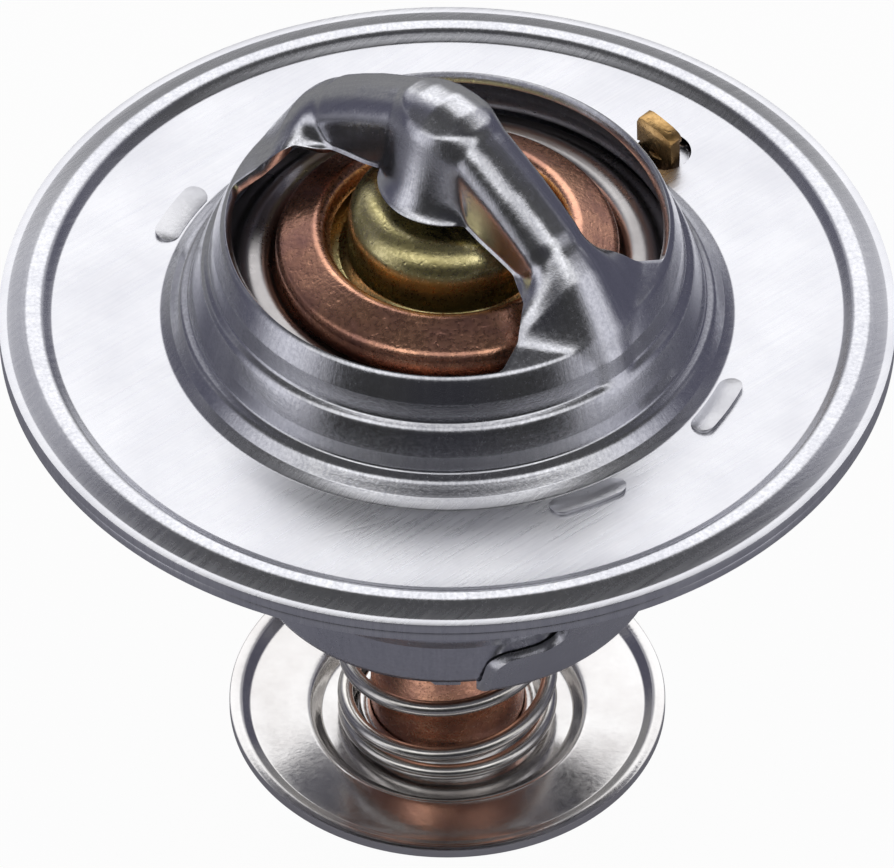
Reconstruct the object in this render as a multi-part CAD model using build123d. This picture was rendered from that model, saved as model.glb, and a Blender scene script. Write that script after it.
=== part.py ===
from build123d import *
from math import cos, degrees, hypot, pi, radians, sin
import os

# Engine thermostat insert with a round clamping flange, a bridged dome over the main valve, a wax
# element that slides on a fixed piston, and a bypass disc on the element's lower end.
# Millimetres. The origin is the centre of the flange's upper face, +Z points to the bridge.
# Along the bridge runs the local axis u, across it the local axis w: u lies at BRIDGE_TURN from +X.

# --- Driving dimensions -------------------------------------------------------------------------
SHEET = 0.8                 # wall of both drawn frames and of the stirrup
FLANGE_R = 33.5             # clamping flange, outside
BRIDGE_TURN = -45.0         # direction of the bridge, degrees from +X

BEAD_INNER_R = 29.55        # stiffening bead near the flange's edge
BEAD_OUTER_R = 32.9
BEAD_HEIGHT = 0.6

DOME_FOOT_R = 20.7          # stepped dome, outside, at the flange
DOME_RIM_R = 16.8           # where the dome turns over into its cap
DOME_RIM_Z = 8.8
CAP_TOP_Z = 13.4            # middle of the cap, which is part of a sphere

STRAP_HALF = 2.55           # bridge strap, outside half width
STRAP_LIP = 0.2             # rest of the cap left beside the strap's foot
STRAP_TOP_Z = 21.7          # ridge height over the flange, at the axis
STRAP_FLARE_U = 9.6         # where the windows start to widen the strap into its legs
LEG_HALF_ANGLE = 31.0       # half of one leg's width, as an angle at the dome's rim
SOCKET_FOOT_R = 5.0         # conical piston socket in the strap's middle, outside
SOCKET_TOP_R = 2.75
SOCKET_BELOW_TOP = 2.0      # the socket's cone ends this far under the ridge
SOCKET_VALLEY = 1.0         # hollow between the strap's flanks and the socket
BACK_FLAT = 0.3             # half width of the flat left along the strap's rounded back
WINDOW_INSET = 0.3          # the windows stop this far inside the dome's rim
WINDOW_CORNER = 0.8
LEG_HOLLOW = 0.9            # how far the windows' ends bow into the legs
BEND = 0.3                  # small bends of the drawn sheets
SEAT_Z = 5.4                # dome's upper shoulder, whose inside is the main valve's seat
SEAT_CORNER = 10            # its place in the list of the dome's corners

BELL_FOOT_R = 20.7          # lower bell, outside, under the flange
BELL_RIM_R = 15.2           # its open lower rim
BELL_DEPTH = 22.5           # from the flange's underside to the rim
BELL_WAIST = 4              # place of the waist above its shoulder in the list of the bell's corners

STIRRUP_FIT = 0.15          # play between the bell's rim and the stirrup's feet
FOOT_HALF = 9.1             # half width of the stirrup's upturned feet
FOOT_HEIGHT = 4.4
FOOT_LEAN = 1.0             # how far the feet open outwards over their height
FOOT_BEND = 0.7
LEG_HALF_LOW = 3.9          # half width of its legs, at the feet and under the flange
LEG_HALF_HIGH = 9.9
PLATE_HALF = 11.0           # half width of the plate that the main spring stands on
TAB_R = 22.6                # staked tabs: their pitch radius, angle from the bridge and size
TAB_ANGLE = 17.6
TAB_LENGTH = 6.2
TAB_WIDTH = 1.9
TAB_RISE = 0.35             # height of a staked head on its outer side
TAB_SUNK = 0.05             # and on its inner side
TAB_FIT = 0.1               # play of a tab in its slot
TAB_OVERHANG = 0.8          # how much longer the staked head is than its slot
LEG_ROOT_ROUND = 1.5
NOTCH_R = 0.7               # relief notches beside the feet
FLOW_R = 8.8                # two curved windows let the coolant through the plate
FLOW_WIDTH = 2.8
FLOW_ANGLE = 80.0

CAN_R = 5.85                # copper can of the wax element, outside
CAN_WALL = 0.8
CAN_BELOW_PLATE = 20.3      # the can's lower end, from the stirrup's plate
COLLAR_R = 12.8             # its crimped collar
COLLAR_FLOOR_Z = 4.6
COLLAR_SHOULDER_Z = 7.2
COLLAR_LIP_R = 9.9
COLLAR_LIP_Z = 8.9
FLARE_RISE = 1.0            # bevel between the can's tube and its collar
CAN_GUIDE_PLAY = 0.35       # play of the can in the stirrup's plate
ELEMENT_FIT = 0.02          # play between the pieces packed in the element

NOSE_R = 7.4                # brass guide
NOSE_TOP_Z = 11.9
NOSE_ROUND = 2.6
GUIDE_STEM_R = 3.4
BOOT_FLANGE = 0.8
BOOT_WALL = 1.3
BACKUP_HEIGHT = 1.6
GUIDE_STEM_END_Z = -4.0
PISTON_R = 1.75
PISTON_END_Z = -22.0
PISTON_PLAY = 0.05

DISC_FIT = 0.3              # play of the main valve's bore on the can's bevel
VALVE_RIM_CLEAR = 0.05      # the closed main valve stands this far off its seat

MAIN_WIRE = 2.4
MAIN_SPRING_R = 12.4        # mean radius
MAIN_TURNS = 5.0

BYPASS_WIRE = 1.2
BYPASS_SPRING_R = 7.8
BYPASS_TURNS = 5.0
BYPASS_START = 225.0        # where its lowest turn starts, degrees from +X
SEAT_GAP = 0.5              # from the stirrup's plate to the neck of the spring's upper seat
SEAT_NECK = 1.6             # height of that neck
COIL_STEPS = 12             # points per turn along a spring's wire

DISC_R = 16.65              # bypass disc
DISC_ABOVE_END = 3.0        # upper face of its recess, from the can's lower end
DISC_RECESS = 1.0           # depth of its recess under the flat ring
DISC_RIM_RISE = 0.6         # how far its rim turns up
DISC_RECESS_R = 9.6
DISC_RIM_WIDTH = 0.8
DISC_COLLAR_RISE = 1.5      # height of the collar that slides on the can
DISC_PLAY = 0.06
RING_R = 8.4                # retaining ring under the disc
RING_THICKNESS = 1.0
RING_DEPTH = 0.35           # depth of its groove in the can
RING_GAP = 2.0

JIGGLE_R = 23.85            # air-bleed pin: distance of its hole from the axis
JIGGLE_TURN = 1.9           # and its angle past the line across the bridge
JIGGLE_HOLE_R = 2.1
JIGGLE_STEM_R = 1.15
JIGGLE_STEM_RISE = 0.7      # how far the stem runs up behind the head
JIGGLE_BULB_R = 2.6
JIGGLE_BULB_HEIGHT = 3.2
JIGGLE_LIFT = 1.2           # how far the loose pin can rise
JIGGLE_GAP = 0.2            # left under the flange when it has risen
PADDLE_WIDTH = 4.7          # its flattened head, which lies over the hole
PADDLE_THICK = 1.0
PADDLE_HEIGHT = 3.2
PADDLE_SHIFT = 0.45         # how far the head stands towards the dome
PADDLE_ROUND = 1.3

# --- Sizes that follow --------------------------------------------------------------------------
CAP_RADIUS = (DOME_RIM_R**2 + (CAP_TOP_Z - DOME_RIM_Z) ** 2) / (2 * (CAP_TOP_Z - DOME_RIM_Z))
LOWER_FACE_Z = -2 * SHEET                           # underside of the double flange
BELL_RIM_Z = LOWER_FACE_Z - BELL_DEPTH
PLATE_TOP_Z = BELL_RIM_Z
PLATE_LOW_Z = PLATE_TOP_Z - SHEET
STIRRUP_R = BELL_RIM_R + STIRRUP_FIT + SHEET        # outside of the stirrup's feet
CAN_END_Z = PLATE_LOW_Z - CAN_BELOW_PLATE
BYPASS_SEAT_Z = PLATE_LOW_Z - SEAT_GAP - SEAT_NECK  # underside of the bypass spring's upper seat
DISC_FLOOR_Z = CAN_END_Z + DISC_ABOVE_END
DISC_FLAT_Z = DISC_FLOOR_Z + DISC_RECESS
DISC_LOW_Z = DISC_FLOOR_Z - SHEET
CAN_BORE = CAN_R - CAN_WALL
ACROSS = BRIDGE_TURN + 90                           # direction of w
JIGGLE_PLACE = Rot(0, 0, ACROSS + JIGGLE_TURN) * Pos(JIGGLE_R, 0, 0)
PLACE = Rot(0, 0, BRIDGE_TURN)                      # turns a shape from (u, w) to (X, Y)


# --- Helpers ------------------------------------------------------------------------------------
def shifted(points, distance):
    """The corners of an open path, moved to its right by a distance, as parallel lines would be."""
    moved = []
    for i, (r, z) in enumerate(points):
        before = points[max(i - 1, 0)], points[max(i, 1)]
        after = points[min(i, len(points) - 2)], points[min(i + 1, len(points) - 1)]
        normals = []
        for (r0, z0), (r1, z1) in (before, after):
            length = hypot(r1 - r0, z1 - z0)
            normals.append(((z1 - z0) / length, -(r1 - r0) / length))
        (a, b), (c, d) = normals
        share = distance / (1 + a * c + b * d)
        moved.append((r + (a + c) * share, z + (b + d) * share))
    return moved


def sheet_section(points, wall, bend):
    """The (r, z) section of a bent sheet: one face follows the points, the other lies to their right."""
    outer = FilletPolyline(*points, radius=bend)
    inner = FilletPolyline(*shifted(points, wall), radius=bend)
    ends = Line(outer @ 0, inner @ 0), Line(outer @ 1, inner @ 1)
    return make_face(outer.edges() + inner.edges() + [line.edge() for line in ends])


def turned(section):
    """A section in (r, z) turned about the axis."""
    return revolve(Plane.XZ * section, Axis.Z)


def ring(r_in, r_out, z_low, z_high):
    """A plain washer or tube."""
    tube = Cylinder(r_out, z_high - z_low, align=(Align.CENTER, Align.CENTER, Align.MIN))
    if r_in:
        tube -= Cylinder(r_in, z_high - z_low, align=(Align.CENTER, Align.CENTER, Align.MIN))
    return Pos(0, 0, z_low) * tube


def write(name, shape):
    """Write one piece to its own file."""
    shape.label = name
    export_step(shape, f"parts/{name}.step")


# --- Upper frame: flange, stepped dome, bridge with the piston socket ---------------------------
def ridge_outline(drop=0.0):
    """Half of the strap's side view: the ridge from the axis down to the dome's rim, in (u, z)."""
    top = STRAP_TOP_Z - drop
    rim = DOME_RIM_R - drop
    rise = STRAP_TOP_Z - DOME_RIM_Z
    return Spline(
        (0, top),
        (0.30 * rim, top - 0.125 * rise),
        (0.64 * rim, top - 0.38 * rise),
        (rim, DOME_RIM_Z - drop),
        tangents=((1, 0), (0.55, -1)),
    )


def strap_solid(drop=0.0):
    """The strap as a full body with a rounded back; drop makes the body inside its sheet."""
    half = STRAP_HALF - drop
    rim = DOME_RIM_R - drop
    ridge = ridge_outline(drop)
    base_z = 0.6 * DOME_RIM_Z
    floor = Polyline(ridge @ 1, (rim, base_z), (0, base_z), ridge @ 0)
    body = extrude(Plane.XZ * make_face(ridge.edges() + floor.edges()), half, both=True)
    body += mirror(body, Plane.YZ)
    flanks = body.edges().filter_by(lambda edge: abs(edge.center().Y) > half - 0.01)
    back = flanks.filter_by(lambda edge: edge.center().Z > DOME_RIM_Z and edge.length > half * 2)
    return fillet(back, half - BACK_FLAT)


def socket_solid(drop=0.0):
    """The conical socket that the piston stands in, as a full body."""
    top_z = STRAP_TOP_Z - SOCKET_BELOW_TOP - drop
    foot_z = CAP_TOP_Z - SHEET
    slope = (SOCKET_FOOT_R - SOCKET_TOP_R) / (top_z - foot_z)
    low_z = 0.9 * DOME_RIM_Z
    low_r = SOCKET_FOOT_R + slope * (foot_z - low_z)
    cone = Cone(low_r - drop, SOCKET_TOP_R - drop, top_z - low_z, align=(Align.CENTER, Align.CENTER, Align.MIN))
    return Pos(0, 0, low_z) * cone


def window_outline():
    """One window in the (u, w) plane: round the rim, up both legs, along the strap and its socket."""
    edge_w = STRAP_HALF + STRAP_LIP
    rim_r = DOME_RIM_R - WINDOW_INSET
    corner_u = rim_r * cos(radians(LEG_HALF_ANGLE))
    corner_w = rim_r * sin(radians(LEG_HALF_ANGLE))
    socket_r = SOCKET_FOOT_R + STRAP_LIP
    socket_u = (socket_r**2 - edge_w**2) ** 0.5
    leg_u = 0.5 * (corner_u + STRAP_FLARE_U) + LEG_HOLLOW
    leg_w = 0.5 * (corner_w + edge_w) - LEG_HOLLOW
    lines = [
        ThreePointArc((corner_u, corner_w), (0, rim_r), (-corner_u, corner_w)),
        ThreePointArc((-corner_u, corner_w), (-leg_u, leg_w), (-STRAP_FLARE_U, edge_w)),
        Line((-STRAP_FLARE_U, edge_w), (-socket_u, edge_w)),
        ThreePointArc((-socket_u, edge_w), (0, socket_r), (socket_u, edge_w)),
        Line((socket_u, edge_w), (STRAP_FLARE_U, edge_w)),
        ThreePointArc((STRAP_FLARE_U, edge_w), (leg_u, leg_w), (corner_u, corner_w)),
    ]
    outline = make_face([line.edge() for line in lines])
    corners = outline.vertices().filter_by(lambda corner: abs(abs(corner.X) - corner_u) < 0.01)
    return fillet(corners, WINDOW_CORNER)


def dome_points():
    """Outside of the flange and dome from the flange's edge to the dome's rim, in (r, z)."""
    foot, rim = DOME_FOOT_R, DOME_RIM_R
    bead_width = BEAD_OUTER_R - BEAD_INNER_R
    return [
        (FLANGE_R, 0),
        (BEAD_OUTER_R, 0),
        (BEAD_OUTER_R - 0.45 * bead_width, BEAD_HEIGHT),
        (BEAD_INNER_R + 0.25 * bead_width, BEAD_HEIGHT),
        (BEAD_INNER_R, 0),
        (foot + 0.75, 0),
        (foot, 0.55),
        (foot - 0.75, 1.45),
        (foot - 1.45, 1.75),
        (foot - 1.7, 3.0),
        (foot - 2.35, SEAT_Z - 0.4),
        (foot - 2.95, SEAT_Z),
        (rim + 0.65, DOME_RIM_Z - 1.8),
        (rim, DOME_RIM_Z),
    ]


def tab_slots(length, width):
    """Four arc slots on the tabs' pitch circle, in the (u, w) plane."""
    half_angle = degrees(0.5 * (length - width) / TAB_R)
    slots = []
    for middle in (0, 180):
        for side in (-TAB_ANGLE, TAB_ANGLE):
            start = middle + side - half_angle
            arc = CenterArc((0, 0), TAB_R, start, 2 * half_angle)
            slots.append(SlotArc(arc, width))
    return slots


def flange_holes():
    """What is punched through both flanges: four tab slots and the hole of the jiggle pin."""
    depth = 6 * SHEET
    slots = [extrude(slot, depth, both=True) for slot in tab_slots(TAB_LENGTH - TAB_OVERHANG, SHEET + TAB_FIT)]
    holes = PLACE * Compound(slots)
    pin_hole = JIGGLE_PLACE * Cylinder(JIGGLE_HOLE_R, depth)
    return [*holes.solids(), pin_hole]


def upper_frame():
    """The drawn upper sheet: flange, stepped dome and bridge in one piece."""
    points = dome_points()
    outer = FilletPolyline(*points, radius=BEND)
    inner = FilletPolyline(*shifted(points, -SHEET), radius=BEND)
    cap_out = RadiusArc(outer @ 1, (0, CAP_TOP_Z), -CAP_RADIUS)
    cap_in = RadiusArc(inner @ 1, (0, CAP_TOP_Z - SHEET), -(CAP_RADIUS - SHEET))
    edge = Line(outer @ 0, inner @ 0)
    axis = Line(cap_out @ 1, cap_in @ 1)
    dome = turned(make_face(outer.edges() + inner.edges() + [cap_out.edge(), cap_in.edge(), edge.edge(), axis.edge()]))
    room = Polyline(cap_in @ 1, (0, -FLANGE_R), (FLANGE_R, -FLANGE_R), inner @ 0)
    inside = turned(make_face(inner.edges() + room.edges() + [cap_in.edge()]))
    bridge = strap_solid() + socket_solid()
    bridge = fillet(bridge.edges().filter_by(GeomType.HYPERBOLA), SOCKET_VALLEY)
    frame = dome + (bridge - inside)
    frame -= strap_solid(SHEET) + socket_solid(SHEET)
    window = extrude(Pos(0, 0, DOME_RIM_Z - 2 * SHEET) * window_outline(), CAP_TOP_Z - DOME_RIM_Z + 3 * SHEET)
    frame -= [Rot(0, 0, side) * window for side in (0, 180)]
    return PLACE * frame - flange_holes()


# --- Lower frame: second flange and the bell that holds the main spring -------------------------
def bell_points():
    """Outside of the lower sheet from the flange's edge to the bell's open rim, in (r, z)."""
    foot, rim = BELL_FOOT_R, BELL_RIM_R
    return [
        (FLANGE_R, LOWER_FACE_Z),
        (foot + 0.7, LOWER_FACE_Z),
        (foot, LOWER_FACE_Z - 0.7),
        (foot - 1.9, LOWER_FACE_Z - 0.37 * BELL_DEPTH),
        (rim + 1.95, BELL_RIM_Z + 6.2),
        (rim + 1.35, BELL_RIM_Z + 4.9),
        (rim + 0.65, BELL_RIM_Z + 2.1),
        (rim, BELL_RIM_Z),
    ]


def lower_cup():
    """The drawn lower sheet: flange and stepped bell in one piece."""
    return turned(sheet_section(bell_points(), SHEET, BEND)) - flange_holes()


# --- Stirrup: plate under the bell, upturned feet and legs staked through the flanges -----------
def spring_carrier():
    """The stirrup bent from one strip, with its four tabs staked over on the flange."""
    foot_top = PLATE_LOW_Z + FOOT_HEIGHT
    foot_out = STIRRUP_R + FOOT_LEAN
    tab_out = TAB_R + SHEET / 2
    waist_r, waist_z = bell_points()[BELL_WAIST]
    points = [
        (0, PLATE_LOW_Z),
        (STIRRUP_R, PLATE_LOW_Z),
        (foot_out, foot_top),
        (waist_r + STIRRUP_FIT + 1.15 * SHEET, waist_z),
        (tab_out, LOWER_FACE_Z - 2 * SHEET),
        (tab_out, 0),
    ]
    outer = FilletPolyline(*points, radius=(FOOT_BEND + SHEET, BEND, BEND, BEND + SHEET))
    inner = FilletPolyline(*shifted(points, -SHEET), radius=(FOOT_BEND, BEND, BEND, BEND))
    ends = Line(outer @ 0, inner @ 0), Line(outer @ 1, inner @ 1)
    band = turned(make_face(outer.edges() + inner.edges() + [line.edge() for line in ends]))

    low_z = PLATE_LOW_Z - SHEET
    leg_top = LOWER_FACE_Z
    foot = Rectangle(2 * FOOT_HALF, foot_top - low_z, align=(Align.CENTER, Align.MIN))
    leg = make_face(
        Polyline(
            (-LEG_HALF_LOW, low_z),
            (LEG_HALF_LOW, low_z),
            (LEG_HALF_LOW, foot_top),
            (LEG_HALF_HIGH, leg_top),
            (-LEG_HALF_HIGH, leg_top),
            (-LEG_HALF_LOW, foot_top),
            close=True,
        )
    )
    side = Pos(0, low_z) * foot + leg
    roots = side.vertices().filter_by(lambda v: abs(v.Y - foot_top) < 0.01)
    side = fillet(roots, LEG_ROOT_ROUND)
    stirrup = band & extrude(Plane.YZ * side, FLANGE_R, both=True)

    tabs = [extrude(slot, leg_top) for slot in tab_slots(TAB_LENGTH - TAB_OVERHANG - TAB_FIT, SHEET)]
    heads = [extrude(slot, TAB_RISE) for slot in tab_slots(TAB_LENGTH, TAB_WIDTH)]
    head_in, head_out = TAB_R - TAB_WIDTH / 2, TAB_R + TAB_WIDTH / 2
    over = Polyline((head_in, TAB_SUNK), (head_out, TAB_RISE), (head_out, 1), (head_in, 1), close=True)
    above_heads = turned(make_face(over))
    heads = [head - above_heads for head in heads]

    disc_r = STIRRUP_R - FOOT_BEND - SHEET
    wings = ring(0, disc_r, PLATE_LOW_Z, PLATE_TOP_Z) & Box(2 * disc_r, 2 * PLATE_HALF, 4 * -PLATE_LOW_Z)
    stirrup += [wings, *tabs, *heads]

    notch_u = (disc_r**2 - FOOT_HALF**2) ** 0.5
    holes = [Pos(0, 0, PLATE_LOW_Z) * Cylinder(CAN_R + CAN_GUIDE_PLAY, 4 * SHEET)]
    for side in (0, 180):
        for across in (-1, 1):
            notch = Cylinder(NOTCH_R, 4 * SHEET)
            holes.append(Rot(0, 0, side) * Pos(notch_u, across * FOOT_HALF, PLATE_LOW_Z) * notch)
        arc = CenterArc((0, 0), FLOW_R, side + 90 - FLOW_ANGLE / 2, FLOW_ANGLE)
        holes.append(extrude(Pos(0, 0, PLATE_LOW_Z) * SlotArc(arc, FLOW_WIDTH), 2 * SHEET, both=True))
    return PLACE * (stirrup - holes)


# --- Main valve -------------------------------------------------------------------------------
def seat_point():
    """Middle of the dome's inner shoulder, which the main valve closes against, in (r, z)."""
    inner = shifted(dome_points(), -SHEET)
    (r0, z0), (r1, z1) = inner[SEAT_CORNER], inner[SEAT_CORNER + 1]
    return 0.5 * (r0 + r1), 0.5 * (z0 + z1)


def valve_disc():
    """The pressed main valve: a rippled steel disc held between the collar and the main spring."""
    seat_r, seat_z = seat_point()
    hub = COLLAR_FLOOR_Z
    rim_z = seat_z - VALVE_RIM_CLEAR - SHEET / 4
    bore = CAN_R + FLARE_RISE + DISC_FIT
    top = FilletPolyline(
        (bore, hub),
        (COLLAR_R + 0.1, hub),
        (COLLAR_R + 0.5, hub + 1.0),
        (COLLAR_R + 1.2, hub + 1.4),
        (COLLAR_R + 1.8, hub + 0.9),
        (COLLAR_R + 2.5, hub + 1.2),
        (seat_r - 0.9, rim_z + 0.2),
        (seat_r, rim_z),
        radius=0.15,
    )
    under = Polyline(
        top @ 1,
        (seat_r, rim_z - 0.8 * SHEET),
        (COLLAR_R + 1.2, hub - SHEET),
        (bore, hub - SHEET),
        top @ 0,
    )
    return turned(make_face(top.edges() + under.edges()))


def element_can():
    """Copper can of the wax element with the wide collar that is rolled in over the guide."""
    points = [
        (0, CAN_END_Z),
        (CAN_R, CAN_END_Z),
        (CAN_R, COLLAR_FLOOR_Z - FLARE_RISE),
        (CAN_R + FLARE_RISE, COLLAR_FLOOR_Z),
        (COLLAR_R, COLLAR_FLOOR_Z),
        (COLLAR_R, COLLAR_SHOULDER_Z),
        (COLLAR_LIP_R, COLLAR_LIP_Z),
    ]
    out_bends = (2.0, 0.4, 0.4 + CAN_WALL, 0.5, 1.0)
    in_bends = (2.0 - CAN_WALL, 0.4 + CAN_WALL, 0.4, 0.2, 0.3)
    outer = FilletPolyline(*points, radius=out_bends)
    inner = FilletPolyline(*shifted(points, -CAN_WALL), radius=in_bends)
    ends = Line(outer @ 0, inner @ 0), Line(outer @ 1, inner @ 1)
    can = turned(make_face(outer.edges() + inner.edges() + [line.edge() for line in ends]))
    groove = ring(CAN_R - RING_DEPTH, CAN_R + 1, DISC_LOW_Z - RING_THICKNESS, DISC_LOW_Z)
    return can - groove


def collar_room():
    """Corner points of the space inside the collar: floor, wall, shoulder and lip, in (r, z)."""
    return shifted(
        [
            (0, COLLAR_FLOOR_Z),
            (COLLAR_R, COLLAR_FLOOR_Z),
            (COLLAR_R, COLLAR_SHOULDER_Z),
            (COLLAR_LIP_R, COLLAR_LIP_Z),
        ],
        -CAN_WALL - ELEMENT_FIT,
    )


def element_guide():
    """Turned brass guide: flange under the collar's lip, rounded nose, long bore for the piston."""
    _, _, shoulder, lip = collar_room()
    bore = PISTON_R + PISTON_PLAY
    flange_low = boot_top()
    step_r = NOSE_R + 0.9
    lines = [
        Polyline(
            (bore, NOSE_TOP_Z - 0.4),
            (bore, GUIDE_STEM_END_Z),
            (GUIDE_STEM_R, GUIDE_STEM_END_Z),
            (GUIDE_STEM_R, flange_low),
            (shoulder[0], flange_low),
            shoulder,
            lip,
            (step_r, lip[1]),
            (NOSE_R, lip[1] + 0.6),
            (NOSE_R, NOSE_TOP_Z - NOSE_ROUND),
        ),
        RadiusArc((NOSE_R, NOSE_TOP_Z - NOSE_ROUND), (NOSE_R - NOSE_ROUND, NOSE_TOP_Z), -NOSE_ROUND),
        Polyline((NOSE_R - NOSE_ROUND, NOSE_TOP_Z), (bore + 0.4, NOSE_TOP_Z), (bore, NOSE_TOP_Z - 0.4)),
    ]
    return turned(make_face([edge for line in lines for edge in line.edges()]))


def boot_top():
    """Height of the boot's clamped flange, which the guide's flange presses on."""
    return COLLAR_FLOOR_Z + CAN_WALL + ELEMENT_FIT + BOOT_FLANGE


def rubber_boot():
    """Rubber boot: a flange clamped under the guide and a closed sleeve round the piston."""
    floor_z = COLLAR_FLOOR_Z + CAN_WALL + ELEMENT_FIT
    skirt = CAN_BORE - ELEMENT_FIT
    sleeve_in = PISTON_R + PISTON_PLAY
    sleeve_out = sleeve_in + BOOT_WALL
    stem = GUIDE_STEM_R + ELEMENT_FIT
    backup_low = GUIDE_STEM_END_Z - BACKUP_HEIGHT
    wall_r = collar_room()[1][0]
    return turned(
        make_face(
            Polyline(
                (stem, boot_top()),
                (stem, backup_low),
                (sleeve_in, backup_low),
                (sleeve_in, PISTON_END_Z - ELEMENT_FIT),
                (0, PISTON_END_Z - ELEMENT_FIT),
                (0, PISTON_END_Z - BOOT_WALL),
                (sleeve_out - 0.8, PISTON_END_Z - BOOT_WALL),
                (sleeve_out, PISTON_END_Z - BOOT_WALL + 0.8),
                (sleeve_out, backup_low - BOOT_WALL - 0.8),
                (skirt, backup_low - BOOT_WALL + 0.4),
                (skirt, floor_z),
                (wall_r, floor_z),
                (wall_r, boot_top()),
                close=True,
            )
        )
    )


def backup_ring():
    """Plastic ring that keeps the boot from being squeezed up along the piston."""
    return ring(PISTON_R + PISTON_PLAY, GUIDE_STEM_R, GUIDE_STEM_END_Z - BACKUP_HEIGHT, GUIDE_STEM_END_Z)


def wax_charge():
    """The wax: everything between the boot and the can."""
    wall_r = CAN_BORE - ELEMENT_FIT
    sleeve_out = PISTON_R + PISTON_PLAY + BOOT_WALL + ELEMENT_FIT
    low_z = CAN_END_Z + CAN_WALL + ELEMENT_FIT
    top_z = GUIDE_STEM_END_Z - BACKUP_HEIGHT - BOOT_WALL - 0.9
    body = ring(0, wall_r, low_z, top_z)
    body = fillet(body.edges().group_by(Axis.Z)[0], 2.0 - CAN_WALL)
    room = ring(0, sleeve_out, PISTON_END_Z - BOOT_WALL - ELEMENT_FIT, top_z + 1)
    return body - room


def piston():
    """Fixed piston: its rounded tip stands in the bridge's socket, the rest is inside the element."""
    tip_z = STRAP_TOP_Z - SHEET - ELEMENT_FIT
    rod = ring(0, PISTON_R, PISTON_END_Z, tip_z)
    rod = fillet(rod.edges().group_by(Axis.Z)[-1], PISTON_R - BACK_FLAT)
    return chamfer(rod.edges().group_by(Axis.Z)[0], 0.3)


# --- Springs ----------------------------------------------------------------------------------
def coil_height(turn, turns, height, wire):
    """Height of a coil spring's wire centre after some turns: closed end turns, open between."""
    closed = 0.75
    ramp = 0.75
    pitch = (height - wire - 2 * closed * wire) / (turns - 2 * closed - ramp)
    open_turn = min(max(turn - closed, 0), turns - 2 * closed)
    middle = turns - 2 * closed
    eased = open_turn
    if open_turn < ramp:
        eased = open_turn**2 / (2 * ramp)
    elif open_turn > middle - ramp:
        eased = middle - ramp - (middle - open_turn) ** 2 / (2 * ramp)
    else:
        eased = open_turn - ramp / 2
    end_turns = min(turn, closed) + max(turn - (turns - closed), 0)
    return wire / 2 + eased * pitch + end_turns * wire


def coil(mean_r, wire, turns, low_z, high_z, start_angle):
    """A coil spring with closed ends, standing between two heights."""
    steps = round(COIL_STEPS * turns)
    points = []
    for i in range(steps + 1):
        turn = turns * i / steps
        angle = radians(start_angle) + 2 * pi * turn
        z = low_z + coil_height(turn, turns, high_z - low_z, wire)
        points.append((mean_r * cos(angle), mean_r * sin(angle), z))
    path = Spline(*points)
    section = Plane(origin=path @ 0, z_dir=path % 0) * Circle(wire / 2)
    return sweep(section, path, is_frenet=True)


def main_spring():
    """Closes the main valve: from the stirrup's plate up to the valve disc."""
    return coil(MAIN_SPRING_R, MAIN_WIRE, MAIN_TURNS, PLATE_TOP_Z, COLLAR_FLOOR_Z - SHEET, ACROSS)


def bypass_spring():
    """Presses the bypass disc down against its ring."""
    return coil(BYPASS_SPRING_R, BYPASS_WIRE, BYPASS_TURNS, DISC_FLOOR_Z, BYPASS_SEAT_Z, BYPASS_START)


# --- Bypass -----------------------------------------------------------------------------------
def bypass_spring_seat():
    """Washer with a short neck, pressed on the can above the bypass spring."""
    out_r = BYPASS_SPRING_R + BYPASS_WIRE / 2 + 0.2
    neck_z = BYPASS_SEAT_Z + SEAT_NECK
    points = [(CAN_R, neck_z), (CAN_R, BYPASS_SEAT_Z), (out_r, BYPASS_SEAT_Z)]
    outer = FilletPolyline(*shifted(points, -SHEET), radius=BEND)
    inner = FilletPolyline(*points, radius=BEND)
    ends = Line(outer @ 0, inner @ 0), Line(outer @ 1, inner @ 1)
    return turned(make_face(outer.edges() + inner.edges() + [line.edge() for line in ends]))


def bypass_disc():
    """Pressed disc with a flat ring, an upturned rim, a recess and a drawn collar that slides on the can."""
    bore = CAN_R + DISC_PLAY
    points = [
        (bore + SHEET, DISC_FLOOR_Z + DISC_COLLAR_RISE),
        (bore + SHEET, DISC_FLOOR_Z),
        (DISC_RECESS_R, DISC_FLOOR_Z),
        (DISC_RECESS_R + 1.0, DISC_FLAT_Z),
        (DISC_R - 2 * DISC_RIM_WIDTH, DISC_FLAT_Z),
        (DISC_R - DISC_RIM_WIDTH, DISC_FLAT_Z + DISC_RIM_RISE),
        (DISC_R, DISC_FLAT_Z + DISC_RIM_RISE),
    ]
    return turned(sheet_section(points, SHEET, 0.25))


def retaining_ring():
    """Open snap ring in the can's groove, under the bypass disc."""
    inner_r = CAN_R - RING_DEPTH
    whole = ring(inner_r, RING_R, DISC_LOW_Z - RING_THICKNESS, DISC_LOW_Z)
    gap = Box(RING_R, RING_GAP, 4 * RING_THICKNESS, align=(Align.MIN, Align.CENTER, Align.CENTER))
    return whole - Rot(0, 0, ACROSS) * Pos(0, 0, DISC_LOW_Z) * gap


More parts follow.
